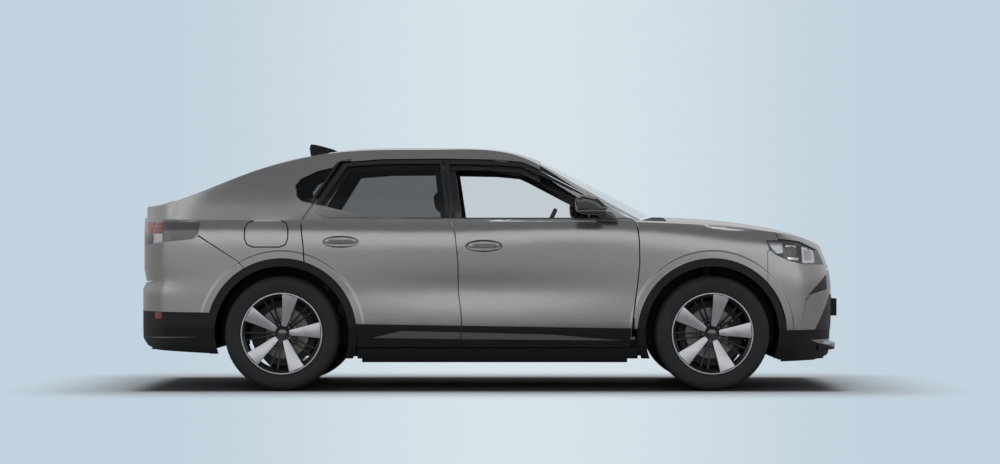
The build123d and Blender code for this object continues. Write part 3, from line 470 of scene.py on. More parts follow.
CLAD_REAR, CLAD_FRONT = Vector((-0.848, 0, 0.432)), Vector((0.924, 0, 0.404))
clad_down = Vector((CLAD_FRONT.z - CLAD_REAR.z, 0, CLAD_REAR.x - CLAD_FRONT.x)).normalized()
DOOR_FOOT = [(CLAD_FRONT, clad_down)]
DOOR_FRAME = [plane(0, 1.110, Z)]
REAR_DOOR_FRAME = DOOR_FRAME + [plane(-0.814, 1.129, (0.074, 0, 0.310)),
                                plane(-0.814, 1.129, (0.009, 0, 0.135))]
FRONT_PILLAR = [plane(0.33, 0, X), plane(0, 1.10, Z)]
MIDDLE_PILLAR = [plane(-0.36, 0, X), plane(0.02, 0, -X), plane(0, 1.10, Z), plane(0, 1.43, -Z)]
CLAD, BLACK = 1, 2
DARK_PARTS = {
    "door_front": [(CLAD, DOOR_FOOT), (BLACK, DOOR_FRAME)],
    "door_rear": [(CLAD, DOOR_FOOT), (BLACK, REAR_DOOR_FRAME)],
    "side_frame": [(BLACK, FRONT_PILLAR), (BLACK, MIDDLE_PILLAR)],
}
panels = {name: merged_copy(name) for name in PAINTED}
body_shine = shine_field(panels.values())
for name, mesh in panels.items():
    for slot, planes in DARK_PARTS.get(name.rpartition("_")[0], []):
        parted(mesh, slot, planes)
    refined(mesh)
    if name not in PAINTED_INSIDE:
        for face in mesh.faces:
            if outward(face) < INNER_FACE:
                face.material_index = CLAD
    panel = keep_mesh(mesh, name + "_panel", paint, cladding, frame_black)
    if name.startswith("door"):
        _, end, side = name.split("_")
        press_cup(panel, HANDLES[end] * Vector((1, SIDES[side], 1)))
    shine(panel, body_shine)
    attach(panel, body_of(name))
    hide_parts(name)


# ======== black trim
# Grained polypropylene mouldings, clipped on: sills, arch rings, lower bumpers, liners, scuttle,
# luggage tubs, dashboard, the roof aerial's fin and the pocket round the charging inlet.
def dressed(finish, *names):
    """Gives CAD nodes that stay as they are a finish."""
    for name in names:
        nodes[name].data.materials.clear()
        nodes[name].data.materials.append(finish.material)


dressed(cladding, "sill_trims", "arch_trims", "front_lower_trim", "rear_lower_trim", "wheel_liners", "cowl",
        "bay_cover", "cargo_tub", "dashboard", "roof_fin", "charge_port")

# ======== glass
# Tinted safety glass in the windscreen and the front doors, bonded or in seals, and darker privacy
# glass behind them and in the roof.
clear = Finish("tinted_glass", base_color=(0.02, 0.024, 0.025), roughness=0.02, alpha=0.06)
dark = Finish("privacy_glass", base_color=(0.006, 0.007, 0.008), roughness=0.02, alpha=0.38)
dressed(clear, "windscreen", "glass_front_left", "glass_front_right")
dressed(dark, "quarter_glass", "roof_glass", "rear_glass", "glass_rear_left", "glass_rear_right")


# ======== door mirrors
# A moulded housing in gloss black with soft corners, a silver line let in round it and the mirror
# glass in its rear face, on a foot at the front corner of the door.
def remeshed(mesh, voxel):
    """A closed shape again, in even squares."""
    shape = in_scene("even", mesh_data(mesh, "even"))
    squares = shape.modifiers.new("squares", "REMESH")
    squares.mode, squares.voxel_size = "VOXEL", voxel
    even = settled(shape)
    bpy.data.objects.remove(shape)
    return as_bmesh(even)


HOUSING_FROM, MIRROR_GLASS_FROM = 0.915, 0.94
LINE_FOOT, LINE_TOP = 1.152, 1.158
MIRROR_SQUARE, MIRROR_SMOOTHINGS = 0.006, 9
SILVER, REFLECTING = 1, 2
gloss = Finish("gloss_black", base_color=(0.006, 0.006, 0.007), roughness=0.12, coat_weight=1.0)
silver_line = Finish("mirror_line", base_color=(0.42, 0.42, 0.43), metallic=0.9, roughness=0.25)
mirror_glass = Finish("mirror_glass", base_color=(0.85, 0.86, 0.88), metallic=1.0, roughness=0.02)
for side in SIDES:
    mesh = remeshed(merged_copy("mirror_" + side), MIRROR_SQUARE)
    for _ in range(MIRROR_SMOOTHINGS):
        bmesh.ops.smooth_vert(mesh, verts=[v for v in mesh.verts if abs(v.co.y) > HOUSING_FROM], factor=0.5,
                              use_axis_x=True, use_axis_y=True, use_axis_z=True)
    for level in (LINE_FOOT, LINE_TOP):
        sliced(mesh, (0, 0, level), Z)
    for face in mesh.faces:
        middle = face.calc_center_median()
        if LINE_FOOT < middle.z < LINE_TOP and abs(middle.y) > HOUSING_FROM:
            face.material_index = SILVER
        elif face.normal.x < -0.8 and abs(middle.y) > MIRROR_GLASS_FROM and middle.z > LINE_TOP:
            face.material_index = REFLECTING
    mirror = keep_mesh(mesh, "mirror_%s_shell" % side, gloss, silver_line, mirror_glass)
    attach(mirror, "door_front_" + side)
    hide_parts("mirror_" + side)


# ======== wheels
# Cast alloy: five broad spokes with machined faces between ribbed black ones, a machined lip, a cap
# and five bolts, with the steel brake disc bolted behind. The tyre is moulded rubber with cut grooves.
# Outlines run as (radius, y) and spokes as (radius, y, half width), for a wheel on the left side.
def turned(outline, steps, slot=0):
    """A closed (radius, y) outline spun about the Y axis."""
    mesh = bmesh.new()
    ring = [mesh.verts.new((radius, y, 0)) for radius, y in outline]
    edges = [mesh.edges.new((ring[i - 1], ring[i])) for i in range(len(ring))]
    bmesh.ops.spin(mesh, geom=ring + edges, cent=(0, 0, 0), axis=(0, 1, 0), angle=2 * math.pi,
                   steps=steps, use_merge=True)
    bmesh.ops.remove_doubles(mesh, verts=mesh.verts, dist=1e-6)
    bmesh.ops.recalc_face_normals(mesh, faces=mesh.faces)
    for face in mesh.faces:
        face.material_index = slot
    return mesh


def rotated(mesh, axis, degrees):
    """Turns a whole bmesh about an axis through the origin."""
    bmesh.ops.rotate(mesh, cent=(0, 0, 0), matrix=Matrix.Rotation(math.radians(degrees), 3, axis),
                     verts=mesh.verts)


def eased(mesh, size=0.0022):
    """Rounds every edge of a bmesh."""
    bmesh.ops.bevel(mesh, geom=mesh.edges[:], offset=size, segments=2, profile=0.5, affect="EDGES",
                    material=-1)


def station(place, across, up):
    """Where a unit square of a bar goes: its middle and its two half edges."""
    along = across.cross(up).normalized() * 0.01
    return Matrix.Translation(place) @ Matrix((across, up, along)).transposed().to_4x4()


def swept(stations):
    """A closed bar through rectangular sections, each the place of a unit square."""
    mesh = bmesh.new()
    start = bmesh.ops.create_grid(mesh, x_segments=1, y_segments=1, size=1, matrix=stations[0])
    face = start["verts"][0].link_faces[0]
    for before, after in zip(stations, stations[1:]):
        made = bmesh.ops.extrude_face_region(mesh, geom=[face])["geom"]
        face = next(g for g in made if isinstance(g, bmesh.types.BMFace))
        bmesh.ops.transform(mesh, matrix=after @ before.inverted(),
                            verts=[g for g in made if isinstance(g, bmesh.types.BMVert)])
    bmesh.ops.recalc_face_normals(mesh, faces=mesh.faces)
    return mesh


def spoke(sections, half_depth, angle, outer_slot=0):
    """A bar out from the Y axis, turned to an angle, with its outer face in a slot."""
    mesh = swept([station(Vector((reach, out, 0)), Z * half, Y * half_depth) for reach, out, half in sections])
    for face in mesh.faces:
        if face.normal.y > 0.8:
            face.material_index = outer_slot
    eased(mesh)
    rotated(mesh, "Y", -angle)
    return mesh


def poured(target, source):
    """Adds one bmesh to another, which uses it up."""
    data = mesh_data(source, "pour")
    target.from_mesh(data)
    bpy.data.meshes.remove(data)


RIM = [(0.262, 0.110), (0.262, 0.098), (0.251, 0.096), (0.236, 0.050), (0.251, -0.096), (0.262, -0.098),
       (0.262, -0.108), (0.242, -0.100), (0.226, 0.050), (0.236, 0.092), (0.2545, 0.110)]
HUB = [(0.0001, 0.036), (0.030, 0.036), (0.046, 0.040), (0.074, 0.034), (0.080, 0.020), (0.080, -0.020),
       (0.0001, -0.020)]
CAP = [(0.0001, 0.052), (0.018, 0.051), (0.027, 0.047), (0.029, 0.036), (0.0001, 0.036)]
DISC = [(0.060, -0.049), (0.165, -0.049), (0.165, -0.041), (0.156, -0.040), (0.156, -0.034), (0.165, -0.033),
        (0.165, -0.025), (0.096, -0.025), (0.090, -0.012), (0.082, -0.008), (0.060, -0.008)]
SLEEVE = [(0.030, -0.065), (0.052, -0.065), (0.060, -0.049), (0.060, -0.018), (0.030, -0.018)]
BROAD_SPOKE = [(0.046, 0.047, 0.015), (0.062, 0.050, 0.021), (0.150, 0.072, 0.034), (0.250, 0.098, 0.052)]
WEB = [(0.040, 0.028, 0.018), (0.150, 0.048, 0.022), (0.236, 0.070, 0.034)]
RIB = [(0.040, 0.036, 0.008), (0.150, 0.048, 0.005), (0.240, 0.066, 0.006)]
SPOKE_DEPTH, WEB_DEPTH, RIB_DEPTH, RIB_LEAN = 0.010, 0.016, 0.007, 6
SPOKE_ANGLES = [77, 5, -67, -139, 149]
SPOKE_PITCH = 360 / len(SPOKE_ANGLES)
BOLT_HEAD = {"radius1": 0.0085, "radius2": 0.0075, "depth": 0.014}
BOLT_CIRCLE, BOLT_OUT = 0.057, 0.043
MACHINED, CHROMED, DISC_STEEL = 1, 2, 3

alloy = turned(RIM, 96)
for face in alloy.faces:
    if face.normal.y > 0.9 and face.calc_center_median().y > 0.1:
        face.material_index = MACHINED
for angle in SPOKE_ANGLES:
    poured(alloy, spoke(BROAD_SPOKE, SPOKE_DEPTH, angle, MACHINED))
    poured(alloy, spoke(WEB, WEB_DEPTH, angle))
    for lean in (-RIB_LEAN, RIB_LEAN):
        poured(alloy, spoke(RIB, RIB_DEPTH, angle + SPOKE_PITCH / 2 + lean))
poured(alloy, turned(HUB, 60))
poured(alloy, turned(CAP, 40, CHROMED))
for number in range(len(SPOKE_ANGLES)):
    bolt = bmesh.new()
    bmesh.ops.create_cone(bolt, cap_ends=True, segments=6, **BOLT_HEAD)
    for face in bolt.faces:
        face.material_index = CHROMED
    rotated(bolt, "X", -90)
    angle = math.radians(SPOKE_ANGLES[0] + SPOKE_PITCH / 2 + SPOKE_PITCH * number)
    bmesh.ops.translate(bolt, vec=(BOLT_CIRCLE * math.cos(angle), BOLT_OUT, BOLT_CIRCLE * math.sin(angle)),
                        verts=bolt.verts)
    poured(alloy, bolt)
poured(alloy, turned(DISC, 72, DISC_STEEL))
poured(alloy, turned(SLEEVE, 40))

black_alloy = Finish("black_alloy", base_color=(0.012, 0.012, 0.013), roughness=0.25, metallic=0.3)
machined = Finish("machined_alloy", base_color=(0.56, 0.57, 0.59), metallic=0.75, roughness=0.3)
machined.set("Roughness", 0.26 + 0.14 * machined.noise(70, detail=4, stretch=(1, 0.05, 1)))
dark_chrome = Finish("dark_chrome", base_color=(0.12, 0.12, 0.125), metallic=1.0, roughness=0.18)
disc_steel = Finish("brake_disc_steel", base_color=(0.22, 0.215, 0.21), metallic=1.0, roughness=0.38)
disc_steel.set("Roughness", 0.3 + 0.2 * disc_steel.noise(240, detail=2))

TREAD_RADIUS, TREAD_HALF, TREAD_CROWN = 0.370, 0.080, 0.0035
GROOVES = [(-0.066, -0.058), (-0.027, -0.018), (0.018, 0.027), (0.058, 0.066)]
GROOVE_DEPTH, GROOVE_SLOPE = 0.0075, 0.001
SIDE_WALL = [(0.252, 0.095), (0.2624, 0.0968), (0.267, 0.109), (0.271, 0.1125), (0.275, 0.1115),
             (0.280, 0.1145), (0.300, 0.1185), (0.318, 0.120), (0.334, 0.1185), (0.3355, 0.1172),
             (0.344, 0.1145), (0.352, 0.108), (0.360, 0.0965), (0.3640, 0.088)]
BLOCKS, GAP_SHARE = 70, 0.72
SHOULDER_FROM, TREAD_FROM, WIDEST_GAP = 0.3585, 0.364, 0.006
SHOULDER_GAP, TREAD_GAP = 0.003, 0.006
tread = [(TREAD_RADIUS - TREAD_CROWN, TREAD_HALF)]
for low, high in reversed(GROOVES):
    for y, depth in ((high, 0), (high - GROOVE_SLOPE, GROOVE_DEPTH), (low + GROOVE_SLOPE, GROOVE_DEPTH),
                     (low, 0)):
        tread.append((TREAD_RADIUS - TREAD_CROWN * abs(y / TREAD_HALF) ** 3 - depth, y))
tread.append((TREAD_RADIUS - TREAD_CROWN, -TREAD_HALF))
rubber_mesh = turned(SIDE_WALL + tread + [(radius, -y) for radius, y in reversed(SIDE_WALL)], 2 * BLOCKS)
for vertex in rubber_mesh.verts:
    index = round(math.atan2(-vertex.co.z, vertex.co.x) / (math.pi / BLOCKS))
    if index % 2:
        vertex.co.rotate(Matrix.Rotation(-GAP_SHARE * math.pi / BLOCKS, 3, "Y"))
bmesh.ops.recalc_face_normals(rubber_mesh, faces=rubber_mesh.faces)
gaps = []
for face in rubber_mesh.faces:
    middle = face.calc_center_median()
    round_edges = [e.calc_length() for e in face.edges if abs(e.verts[0].co.y - e.verts[1].co.y) < 1e-5]
    if (math.hypot(middle.x, middle.z) > SHOULDER_FROM and min(round_edges, default=1) < WIDEST_GAP
            and face.normal.y ** 2 < 0.75):
        gaps.append(face)
sunk = bmesh.ops.extrude_face_region(rubber_mesh, geom=gaps)["geom"]
for vertex in (g for g in sunk if isinstance(g, bmesh.types.BMVert)):
    radius = math.hypot(vertex.co.x, vertex.co.z)
    depth = TREAD_GAP if radius > TREAD_FROM else SHOULDER_GAP
    vertex.co.x *= (radius - depth) / radius
    vertex.co.z *= (radius - depth) / radius
bmesh.ops.delete(rubber_mesh, geom=[f for f in gaps if f.is_valid], context="FACES_ONLY")
bmesh.ops.recalc_face_normals(rubber_mesh, faces=rubber_mesh.faces)
rubber = Finish("tyre_rubber", base_color=(0.020, 0.020, 0.021), roughness=0.72, specular_ior_level=0.35)
rubber.set("Base Color", rubber.blend(rubber.noise(30, detail=4), (0.020, 0.020, 0.021), (0.034, 0.034, 0.035)))
rubber.bump(rubber.noise(1200, detail=2), 0.2, 0.0003)


def placed(data, side, place):
    """A left-hand mesh moved to its place, turned over for the right side."""
    mesh = as_bmesh(data)
    if side == "right":
        bmesh.ops.scale(mesh, vec=(1, -1, 1), verts=mesh.verts)
        bmesh.ops.reverse_faces(mesh, faces=mesh.faces)
    bmesh.ops.translate(mesh, vec=place, verts=mesh.verts)
    return mesh


CORNERS = [(end, side) for end in ("front", "rear") for side in SIDES]
alloy_data, rubber_data = mesh_data(alloy, "alloy"), mesh_data(rubber_mesh, "rubber")
for end, side in CORNERS:
    for source, kind, finishes in ((alloy_data, "wheel", (black_alloy, machined, dark_chrome, disc_steel)),
                                   (rubber_data, "tyre", (rubber,))):
        piece = keep_mesh(placed(source, side, tyre_middle(end, side)),
                          "%s_%s_%s_detail" % (kind, end, side), *finishes)
        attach(piece, "wheel_%s_%s" % (end, side))
        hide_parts("%s_%s_%s" % (kind, end, side))

# ======== door handles
# A painted grip across each cup, thickest in the middle and bent in to a foot at each end. It is
# given as sections, each with its reach from the middle, its place outwards and its half height.
GRIP = [(-0.108, -0.012, 0.006), (-0.094, 0.004, 0.010), (-0.060, 0.010, 0.012), (0, 0.012, 0.013),
        (0.060, 0.010, 0.012), (0.094, 0.004, 0.010), (0.108, -0.012, 0.006)]
GRIP_RISE, GRIP_DEPTH = 0.002, 0.005
for end, side in CORNERS:
    sign = SIDES[side]
    middle = HANDLES[end] * Vector((1, sign, 1))
    grip = swept([station(middle + Vector((reach, out * sign, GRIP_RISE)), Z * tall * sign, Y * GRIP_DEPTH)
                  for reach, out, tall in GRIP])
    eased(grip)
    handle = keep_mesh(grip, "handle_%s_%s" % (end, side), paint)
    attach(handle, "door_%s_%s" % (end, side))


# ======== door blades
# Satin grey blades let into the black foot of the doors, cut where the doors part. Each is a thin
# strip that follows the skin under it, inside an outline of (x, z) corners.
def lift_way(vertex):
    """The way off the body at a vertex: the body's own where it is known, or else the vertex's."""
    smooth = body_shine(vertex.co, vertex.normal)
    return Vector(vertex.normal if smooth is None else smooth)


def skin_patch(node, corners, side=0, lift=0.0025, sink=0.0, facing=0.3):
    """A thin strip on a node's outer skin, or sunk behind it, inside a convex run of (x, z) corners."""
    mesh = merged_copy(node)
    drop = [f for f in mesh.faces if outward(f) < facing or f.calc_center_median().y * side < 0]
    bmesh.ops.delete(mesh, geom=drop, context="FACES")
    if sum(x0 * z1 - x1 * z0 for (x0, z0), (x1, z1) in zip(corners, corners[1:] + corners[:1])) < 0:
        corners = corners[::-1]
    for (x0, z0), (x1, z1) in zip(corners, corners[1:] + corners[:1]):
        sliced(mesh, (x0, 0, z0), Vector((z1 - z0, 0, x0 - x1)).normalized(), clear_outer=True)
    mesh.normal_update()
    away = {v: lift_way(v) for v in mesh.verts}
    base = mesh.verts[:]
    top = bmesh.ops.extrude_face_region(mesh, geom=mesh.faces[:])["geom"]
    lifted = [g for g in top if isinstance(g, bmesh.types.BMVert)]
    raised = {v: min(away, key=lambda b: (b.co - v.co).length_squared) for v in lifted}
    for vertex, foot in raised.items():
        vertex.co += away[foot] * (lift - sink)
    for vertex in base:
        vertex.co -= away[vertex] * sink
    bmesh.ops.recalc_face_normals(mesh, faces=mesh.faces)
    return mesh


def patches(name, node, outlines, finish, body, slot, **how):
    """One piece made of skin patches on both sides of the car."""
    mesh = bmesh.new()
    for corners in outlines:
        for sign in SIDES.values():
            poured(mesh, skin_patch(node, corners, sign, **how))
    piece = keep_mesh(mesh, name, finish)
    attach(piece, body)


satin = Finish("satin_grey_trim", base_color=(0.16, 0.162, 0.166), metallic=0.5, roughness=0.42)
BLADE = [(-0.745, 0.343), (-0.171, 0.335), (0.850, 0.326), (0.409, 0.364), (-0.179, 0.379), (-0.561, 0.387)]
for end, side in CORNERS:
    blade = keep_mesh(skin_patch("door_%s_%s" % (end, side), BLADE, SIDES[side]),
                      "blade_%s_%s" % (end, side), satin)
    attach(blade, "door_%s_%s" % (end, side))

# ======== window corners and pillar strips
# Painted sheet below the rear doors' rising window line, fixed to the door, and a black film on the
# body's pillar between the rear door and the quarter glass.
CORNER_FIELD = [(-1.30, 1.100), (-0.814, 1.100), (-0.814, 1.129), (-1.124, 1.203), (-1.30, 1.245)]
CORNER_TIP = [(-0.814, 1.100), (-0.660, 1.100), (-0.660, 1.119), (-0.814, 1.129)]
PILLAR_STRIP = [(-0.907, 1.490), (-0.989, 1.482), (-1.192, 1.226), (-1.141, 1.2035)]
for side, sign in SIDES.items():
    corner = bmesh.new()
    for outline in (CORNER_FIELD, CORNER_TIP):
        poured(corner, skin_patch("glass_rear_" + side, outline, sign, lift=0.004))
    finisher = keep_mesh(corner, "window_corner_" + side, paint)
    shine(finisher, body_shine)
    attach(finisher, "door_rear_" + side)
patches("pillar_strips", "side_frame_left", [PILLAR_STRIP], frame_black, "body", "gloss_black", lift=0.0015)
patches("pillar_strips_right", "side_frame_right", [PILLAR_STRIP], frame_black, "body", "gloss_black",
        lift=0.0015)

# ======== bumper details
# Moulded pieces clipped into the front bumper: black triangles under the headlamps, raised painted
# surrounds below them, a grille of small cells low in the middle and a silver lip over the splitter.
# On the rear bumper are two red reflectors and a satin line.
reflector = Finish("red_reflector", base_color=(0.30, 0.012, 0.015), roughness=0.2, coat_weight=0.6)
reflector.bump(reflector.cells("F1", 260.0), 0.4, 0.001)
grille = Finish("grille_black", base_color=(0.006, 0.006, 0.007), roughness=0.4)
grille.bump(grille.cells("DISTANCE_TO_EDGE", 55.0).ramp(0.02, 0.12), 0.9, 0.006)
TRIANGLE = [(2.214, 0.744), (2.214, 0.650), (2.069, 0.615)]
AIR_CURTAIN = [(2.057, 0.592), (2.083, 0.612), (2.205, 0.644), (2.232, 0.612), (2.205, 0.560),
               (2.150, 0.428), (2.026, 0.442)]
GRILLE_TOP = [(2.236, 0.612), (2.45, 0.612), (2.45, 0.470), (2.170, 0.470)]
GRILLE_FOOT = [(2.170, 0.474), (2.45, 0.474), (2.45, 0.388), (2.125, 0.388)]
SPLITTER_LIP = [(2.090, 0.322), (2.310, 0.322), (2.310, 0.262), (2.150, 0.300)]
REAR_REFLECTOR = [(-2.163, 0.505), (-2.112, 0.505), (-2.112, 0.464), (-2.163, 0.464)]
REAR_LINE = [(-2.40, 0.338), (-2.086, 0.338), (-1.772, 0.352), (-1.772, 0.362), (-2.086, 0.348), (-2.40, 0.348)]
patches("bumper_triangles", "front_bumper", [TRIANGLE], grille, "body", "black_plastic")
patches("air_curtains", "front_bumper", [AIR_CURTAIN], paint, "body", "body_paint", lift=0.009)
patches("lower_grille", "front_bumper", [GRILLE_TOP, GRILLE_FOOT], grille, "body", "black_plastic", lift=0.003)
patches("splitter_lip", "front_lower_trim", [SPLITTER_LIP], silver_line, "body", "gloss_black", facing=-0.9,
        lift=0.0015)
patches("rear_reflectors", "rear_lower_trim", [REAR_REFLECTOR], reflector, "body", "lamp_red")
patches("rear_line", "rear_lower_trim", [REAR_LINE], satin, "body", "black_plastic")

# ======== headlamps
# Clear polycarbonate covers over grey housings. Behind each cover are chrome bars, two ribbed
# reflectors and a round projector, sunk below the skin. The reflectors' ribs are only pale and dark
# stripes in their colour: painted highlights and painted shade.
lens = Finish("lamp_cover", base_color=(0.75, 0.77, 0.79), roughness=0.02, alpha=0.16, coat_weight=0.5)
housing = Finish("lamp_housing", base_color=(0.22, 0.22, 0.225), roughness=0.3, metallic=0.5)
chrome = Finish("lamp_chrome", base_color=(0.82, 0.83, 0.85), metallic=1.0, roughness=0.12)
reflector_painted_ribs = Finish("reflector_painted_ribs", base_color=(0.62, 0.64, 0.67), metallic=0.6, roughness=0.2)
# Pale and dark stripes of one silver stand for the reflectors' ribs: painted highlights and painted shade.
reflector_painted_ribs.set("Base Color", reflector_painted_ribs.blend(reflector_painted_ribs.stripes("X", 40.0), (0.40, 0.42, 0.45),
                                              (0.75, 0.77, 0.80)))
lamp_mesh = merged_copy("headlamps")
for face in lamp_mesh.faces:
    face.material_index = 0 if outward(face) > 0.35 else 1
headlamp = keep_mesh(lamp_mesh, "headlamp_covers", lens, housing)
shine(headlamp, body_shine)
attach(headlamp, "body")
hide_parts("headlamps")


def circle(x, z, radius):
    """Twelve corners round a middle."""
    angles = [math.radians(a) for a in range(0, 360, 30)]
    return [(x + radius * math.cos(a), z + radius * math.sin(a)) for a in angles]


UPPER_BAR = [(1.920, 0.947), (1.999, 0.942), (1.996, 0.929), (1.920, 0.934)]
LOWER_BAR = [(1.933, 0.864), (2.014, 0.859), (2.010, 0.842), (1.933, 0.849)]
SQUARE_UNIT = [(2.038, 0.935), (2.135, 0.918), (2.135, 0.826), (2.042, 0.824)]
SQUARE_FACE = [(2.062, 0.914), (2.112, 0.906), (2.112, 0.848), (2.064, 0.846)]
REAR_UNIT = [(1.805, 0.957), (1.898, 0.955), (1.900, 0.890), (1.860, 0.884), (1.822, 0.922)]
PROJECTOR = circle(1.963, 0.900, 0.036)
patches("headlamp_bars", "headlamps", [UPPER_BAR, LOWER_BAR, SQUARE_UNIT], chrome, "body", "lamp_clear",
        sink=0.016, lift=0.006)
patches("headlamp_reflectors", "headlamps", [REAR_UNIT, SQUARE_FACE], reflector_painted_ribs, "body", "lamp_clear",
        sink=0.013, lift=0.006)
patches("headlamp_projectors", "headlamps", [PROJECTOR], gloss, "body", "lamp_clear", sink=0.012, lift=0.006)

# ======== rear lamps
# One moulded lens to each lamp, parted by colour: a red block above, its ribs only pale and dark red
# stripes in its colour (painted highlights and painted shade), a white reversing light in the outer
# part under it and a smoked end towards the wheels. The inner lamps are on the tailgate.
red = Finish("red_lens_painted_ribs", base_color=(0.32, 0.008, 0.012), roughness=0.06, coat_weight=1.0)
# Pale and dark red stripes stand for the block's ribs: painted highlights and painted shade.
red.set("Base Color", red.blend(red.stripes("Z", 12.0), (0.20, 0.004, 0.008), (0.45, 0.02, 0.025)))
white_lens = Finish("reversing_lens", base_color=(0.72, 0.72, 0.74), roughness=0.08, coat_weight=1.0)
smoked = Finish("smoked_lens", base_color=(0.085, 0.088, 0.09), roughness=0.12, coat_weight=1.0)
RED, WHITE, SMOKED, HOUSING = range(4)
SMOKED_FROM, RED_FROM, WHITE_OUT, SMOKED_TOP = -2.110, 1.012, 0.72, 0.995
for name, body in (("tail_lamps", "body"), ("tailgate_lamps", "tailgate")):
    lamp_mesh = merged_copy(name)
    for point, normal in (((SMOKED_FROM, 0, 1.0), X), ((0, 0, RED_FROM), Z), ((0, WHITE_OUT, 0), Y),
                          ((0, -WHITE_OUT, 0), Y)):
        sliced(lamp_mesh, point, normal)
    for face in lamp_mesh.faces:
        middle = face.calc_center_median()
        if outward(face) < 0.3:
            face.material_index = HOUSING
        elif middle.x > SMOKED_FROM:
            face.material_index = SMOKED if middle.z > SMOKED_TOP - 0.1 * (middle.x - SMOKED_FROM) else HOUSING
        elif middle.z > RED_FROM:
            face.material_index = RED
        else:
            face.material_index = WHITE if name == "tail_lamps" or abs(middle.y) > WHITE_OUT else SMOKED
    lamp = keep_mesh(lamp_mesh, name + "_lens", red, white_lens, smoked, housing)
    shine(lamp, body_shine)
    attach(lamp, body)
    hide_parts(name)

# ======== underside
# Coated pressed steel: the floor, the subframes and the battery's case, bolted up from below, with
# cast knuckles and a cast aluminium drive unit. A thin dished shield stands behind each brake disc.
metal = Finish("coated_steel", base_color=(0.03, 0.03, 0.032), roughness=0.6, metallic=0.2)
casting = Finish("cast_aluminium", base_color=(0.30, 0.31, 0.32), roughness=0.5, metallic=0.9)
dressed(metal, "floor_pan", "front_frame", "rear_frame", "knuckle_left", "knuckle_right", "battery_pack")
dressed(casting, "drive_unit")
SHIELD_OUT = 0.083
for end, side in CORNERS:
    low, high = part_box("tyre_%s_%s" % (end, side))
    inner = SHIELD_OUT - (high.y - low.y) / 2
    outline = [(0.085, inner), (0.150, inner - 0.006), (0.212, inner + 0.004), (0.212, inner + 0.007),
               (0.150, inner - 0.003), (0.085, inner + 0.003)]
    plate_data = mesh_data(turned(outline, 48), "plate")
    shield = keep_mesh(placed(plate_data, side, tyre_middle(end, side)), "dust_shield_%s_%s" % (end, side),
                       metal)
    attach(shield, "hub_carrier_" + side if end == "front" else "body")


# ======== arch fillers
# Moulded blocks of the cladding's plastic, wedged into both ends of each sill beside the wheel
# arches, so that nobody sees through from one arch to the other.
def boxed(low, high):
    """A plain block between two corners."""
    mesh = bmesh.new()
    bmesh.ops.create_cube(mesh, size=1)
    low, high = Vector(low), Vector(high)
    bmesh.ops.scale(mesh, vec=high - low, verts=mesh.verts)
    bmesh.ops.translate(mesh, vec=(low + high) / 2, verts=mesh.verts)
    return mesh


FRONT_FILLER, REAR_FILLER = (0.920, 0.985, 0.225), (-0.880, -0.820, 0.220)
FILLER_WIDTH, FILLER_TOP = 0.08, 0.350
fillers = bmesh.new()
for y in (-0.80, 0.72):
    for start, stop, foot in (FRONT_FILLER, REAR_FILLER):
        poured(fillers, boxed((start, y, foot), (stop, y + FILLER_WIDTH, FILLER_TOP)))
filler = keep_mesh(fillers, "arch_fillers", cladding)
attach(filler, "body")

# ======== seats
# Two front seats and a rear bench: foam cushions under woven cloth with sewn channels, on black
# bases and with black posts under the head rests. A cloth simulation blows each cover up a little.
SEAM_WIDTH, SEAM_DEPTH, SIDE_SEAM_AT, SIDE_SEAM_DEPTH = 0.045, 0.009, 0.62, 0.007
weave = Finish("seat_cloth", base_color=(0.05, 0.05, 0.053), roughness=0.9, sheen_weight=0.4)
threads = weave.stripes("X", 130.0) + weave.stripes("Y", 130.0)
weave.set("Base Color", weave.blend(threads * 0.5, (0.030, 0.031, 0.034), (0.070, 0.071, 0.075)))
weave.bump(threads, 0.35, 0.0008)


def blown(mesh, most=0.010, voxel=0.009, pressure=4, steps=20):
    """A closed pad after its cover is blown up as cloth, no point moved further than most."""
    cover = in_scene("pad", mesh_data(remeshed(mesh, voxel), "pad"))
    cloth = cover.modifiers.new("cloth", "CLOTH")
    cloth.settings.use_pressure, cloth.settings.uniform_pressure_force = True, pressure
    cloth.settings.effector_weights.gravity = 0
    for step in range(1, steps + 1):
        bpy.context.scene.frame_set(step)
    swollen = cover.evaluated_get(bpy.context.evaluated_depsgraph_get()).to_mesh()
    moves = [after.co - before.co for before, after in zip(cover.data.vertices, swollen.vertices)]
    cover.modifiers.clear()
    bpy.context.scene.frame_set(1)
    for vertex, move in zip(cover.data.vertices, moves):
        vertex.co += move * min(1, most / max(move.length, 1e-9))
    mesh = as_bmesh(cover.data)
    bpy.data.objects.remove(cover)
    return mesh


def seam(across, along, depth):
    """How deep a sewn channel is, from how far a point is from it and from the pad's middle."""
    return depth * math.exp(-((across / SEAM_WIDTH) ** 2)) * max(0, 1 - along**6)


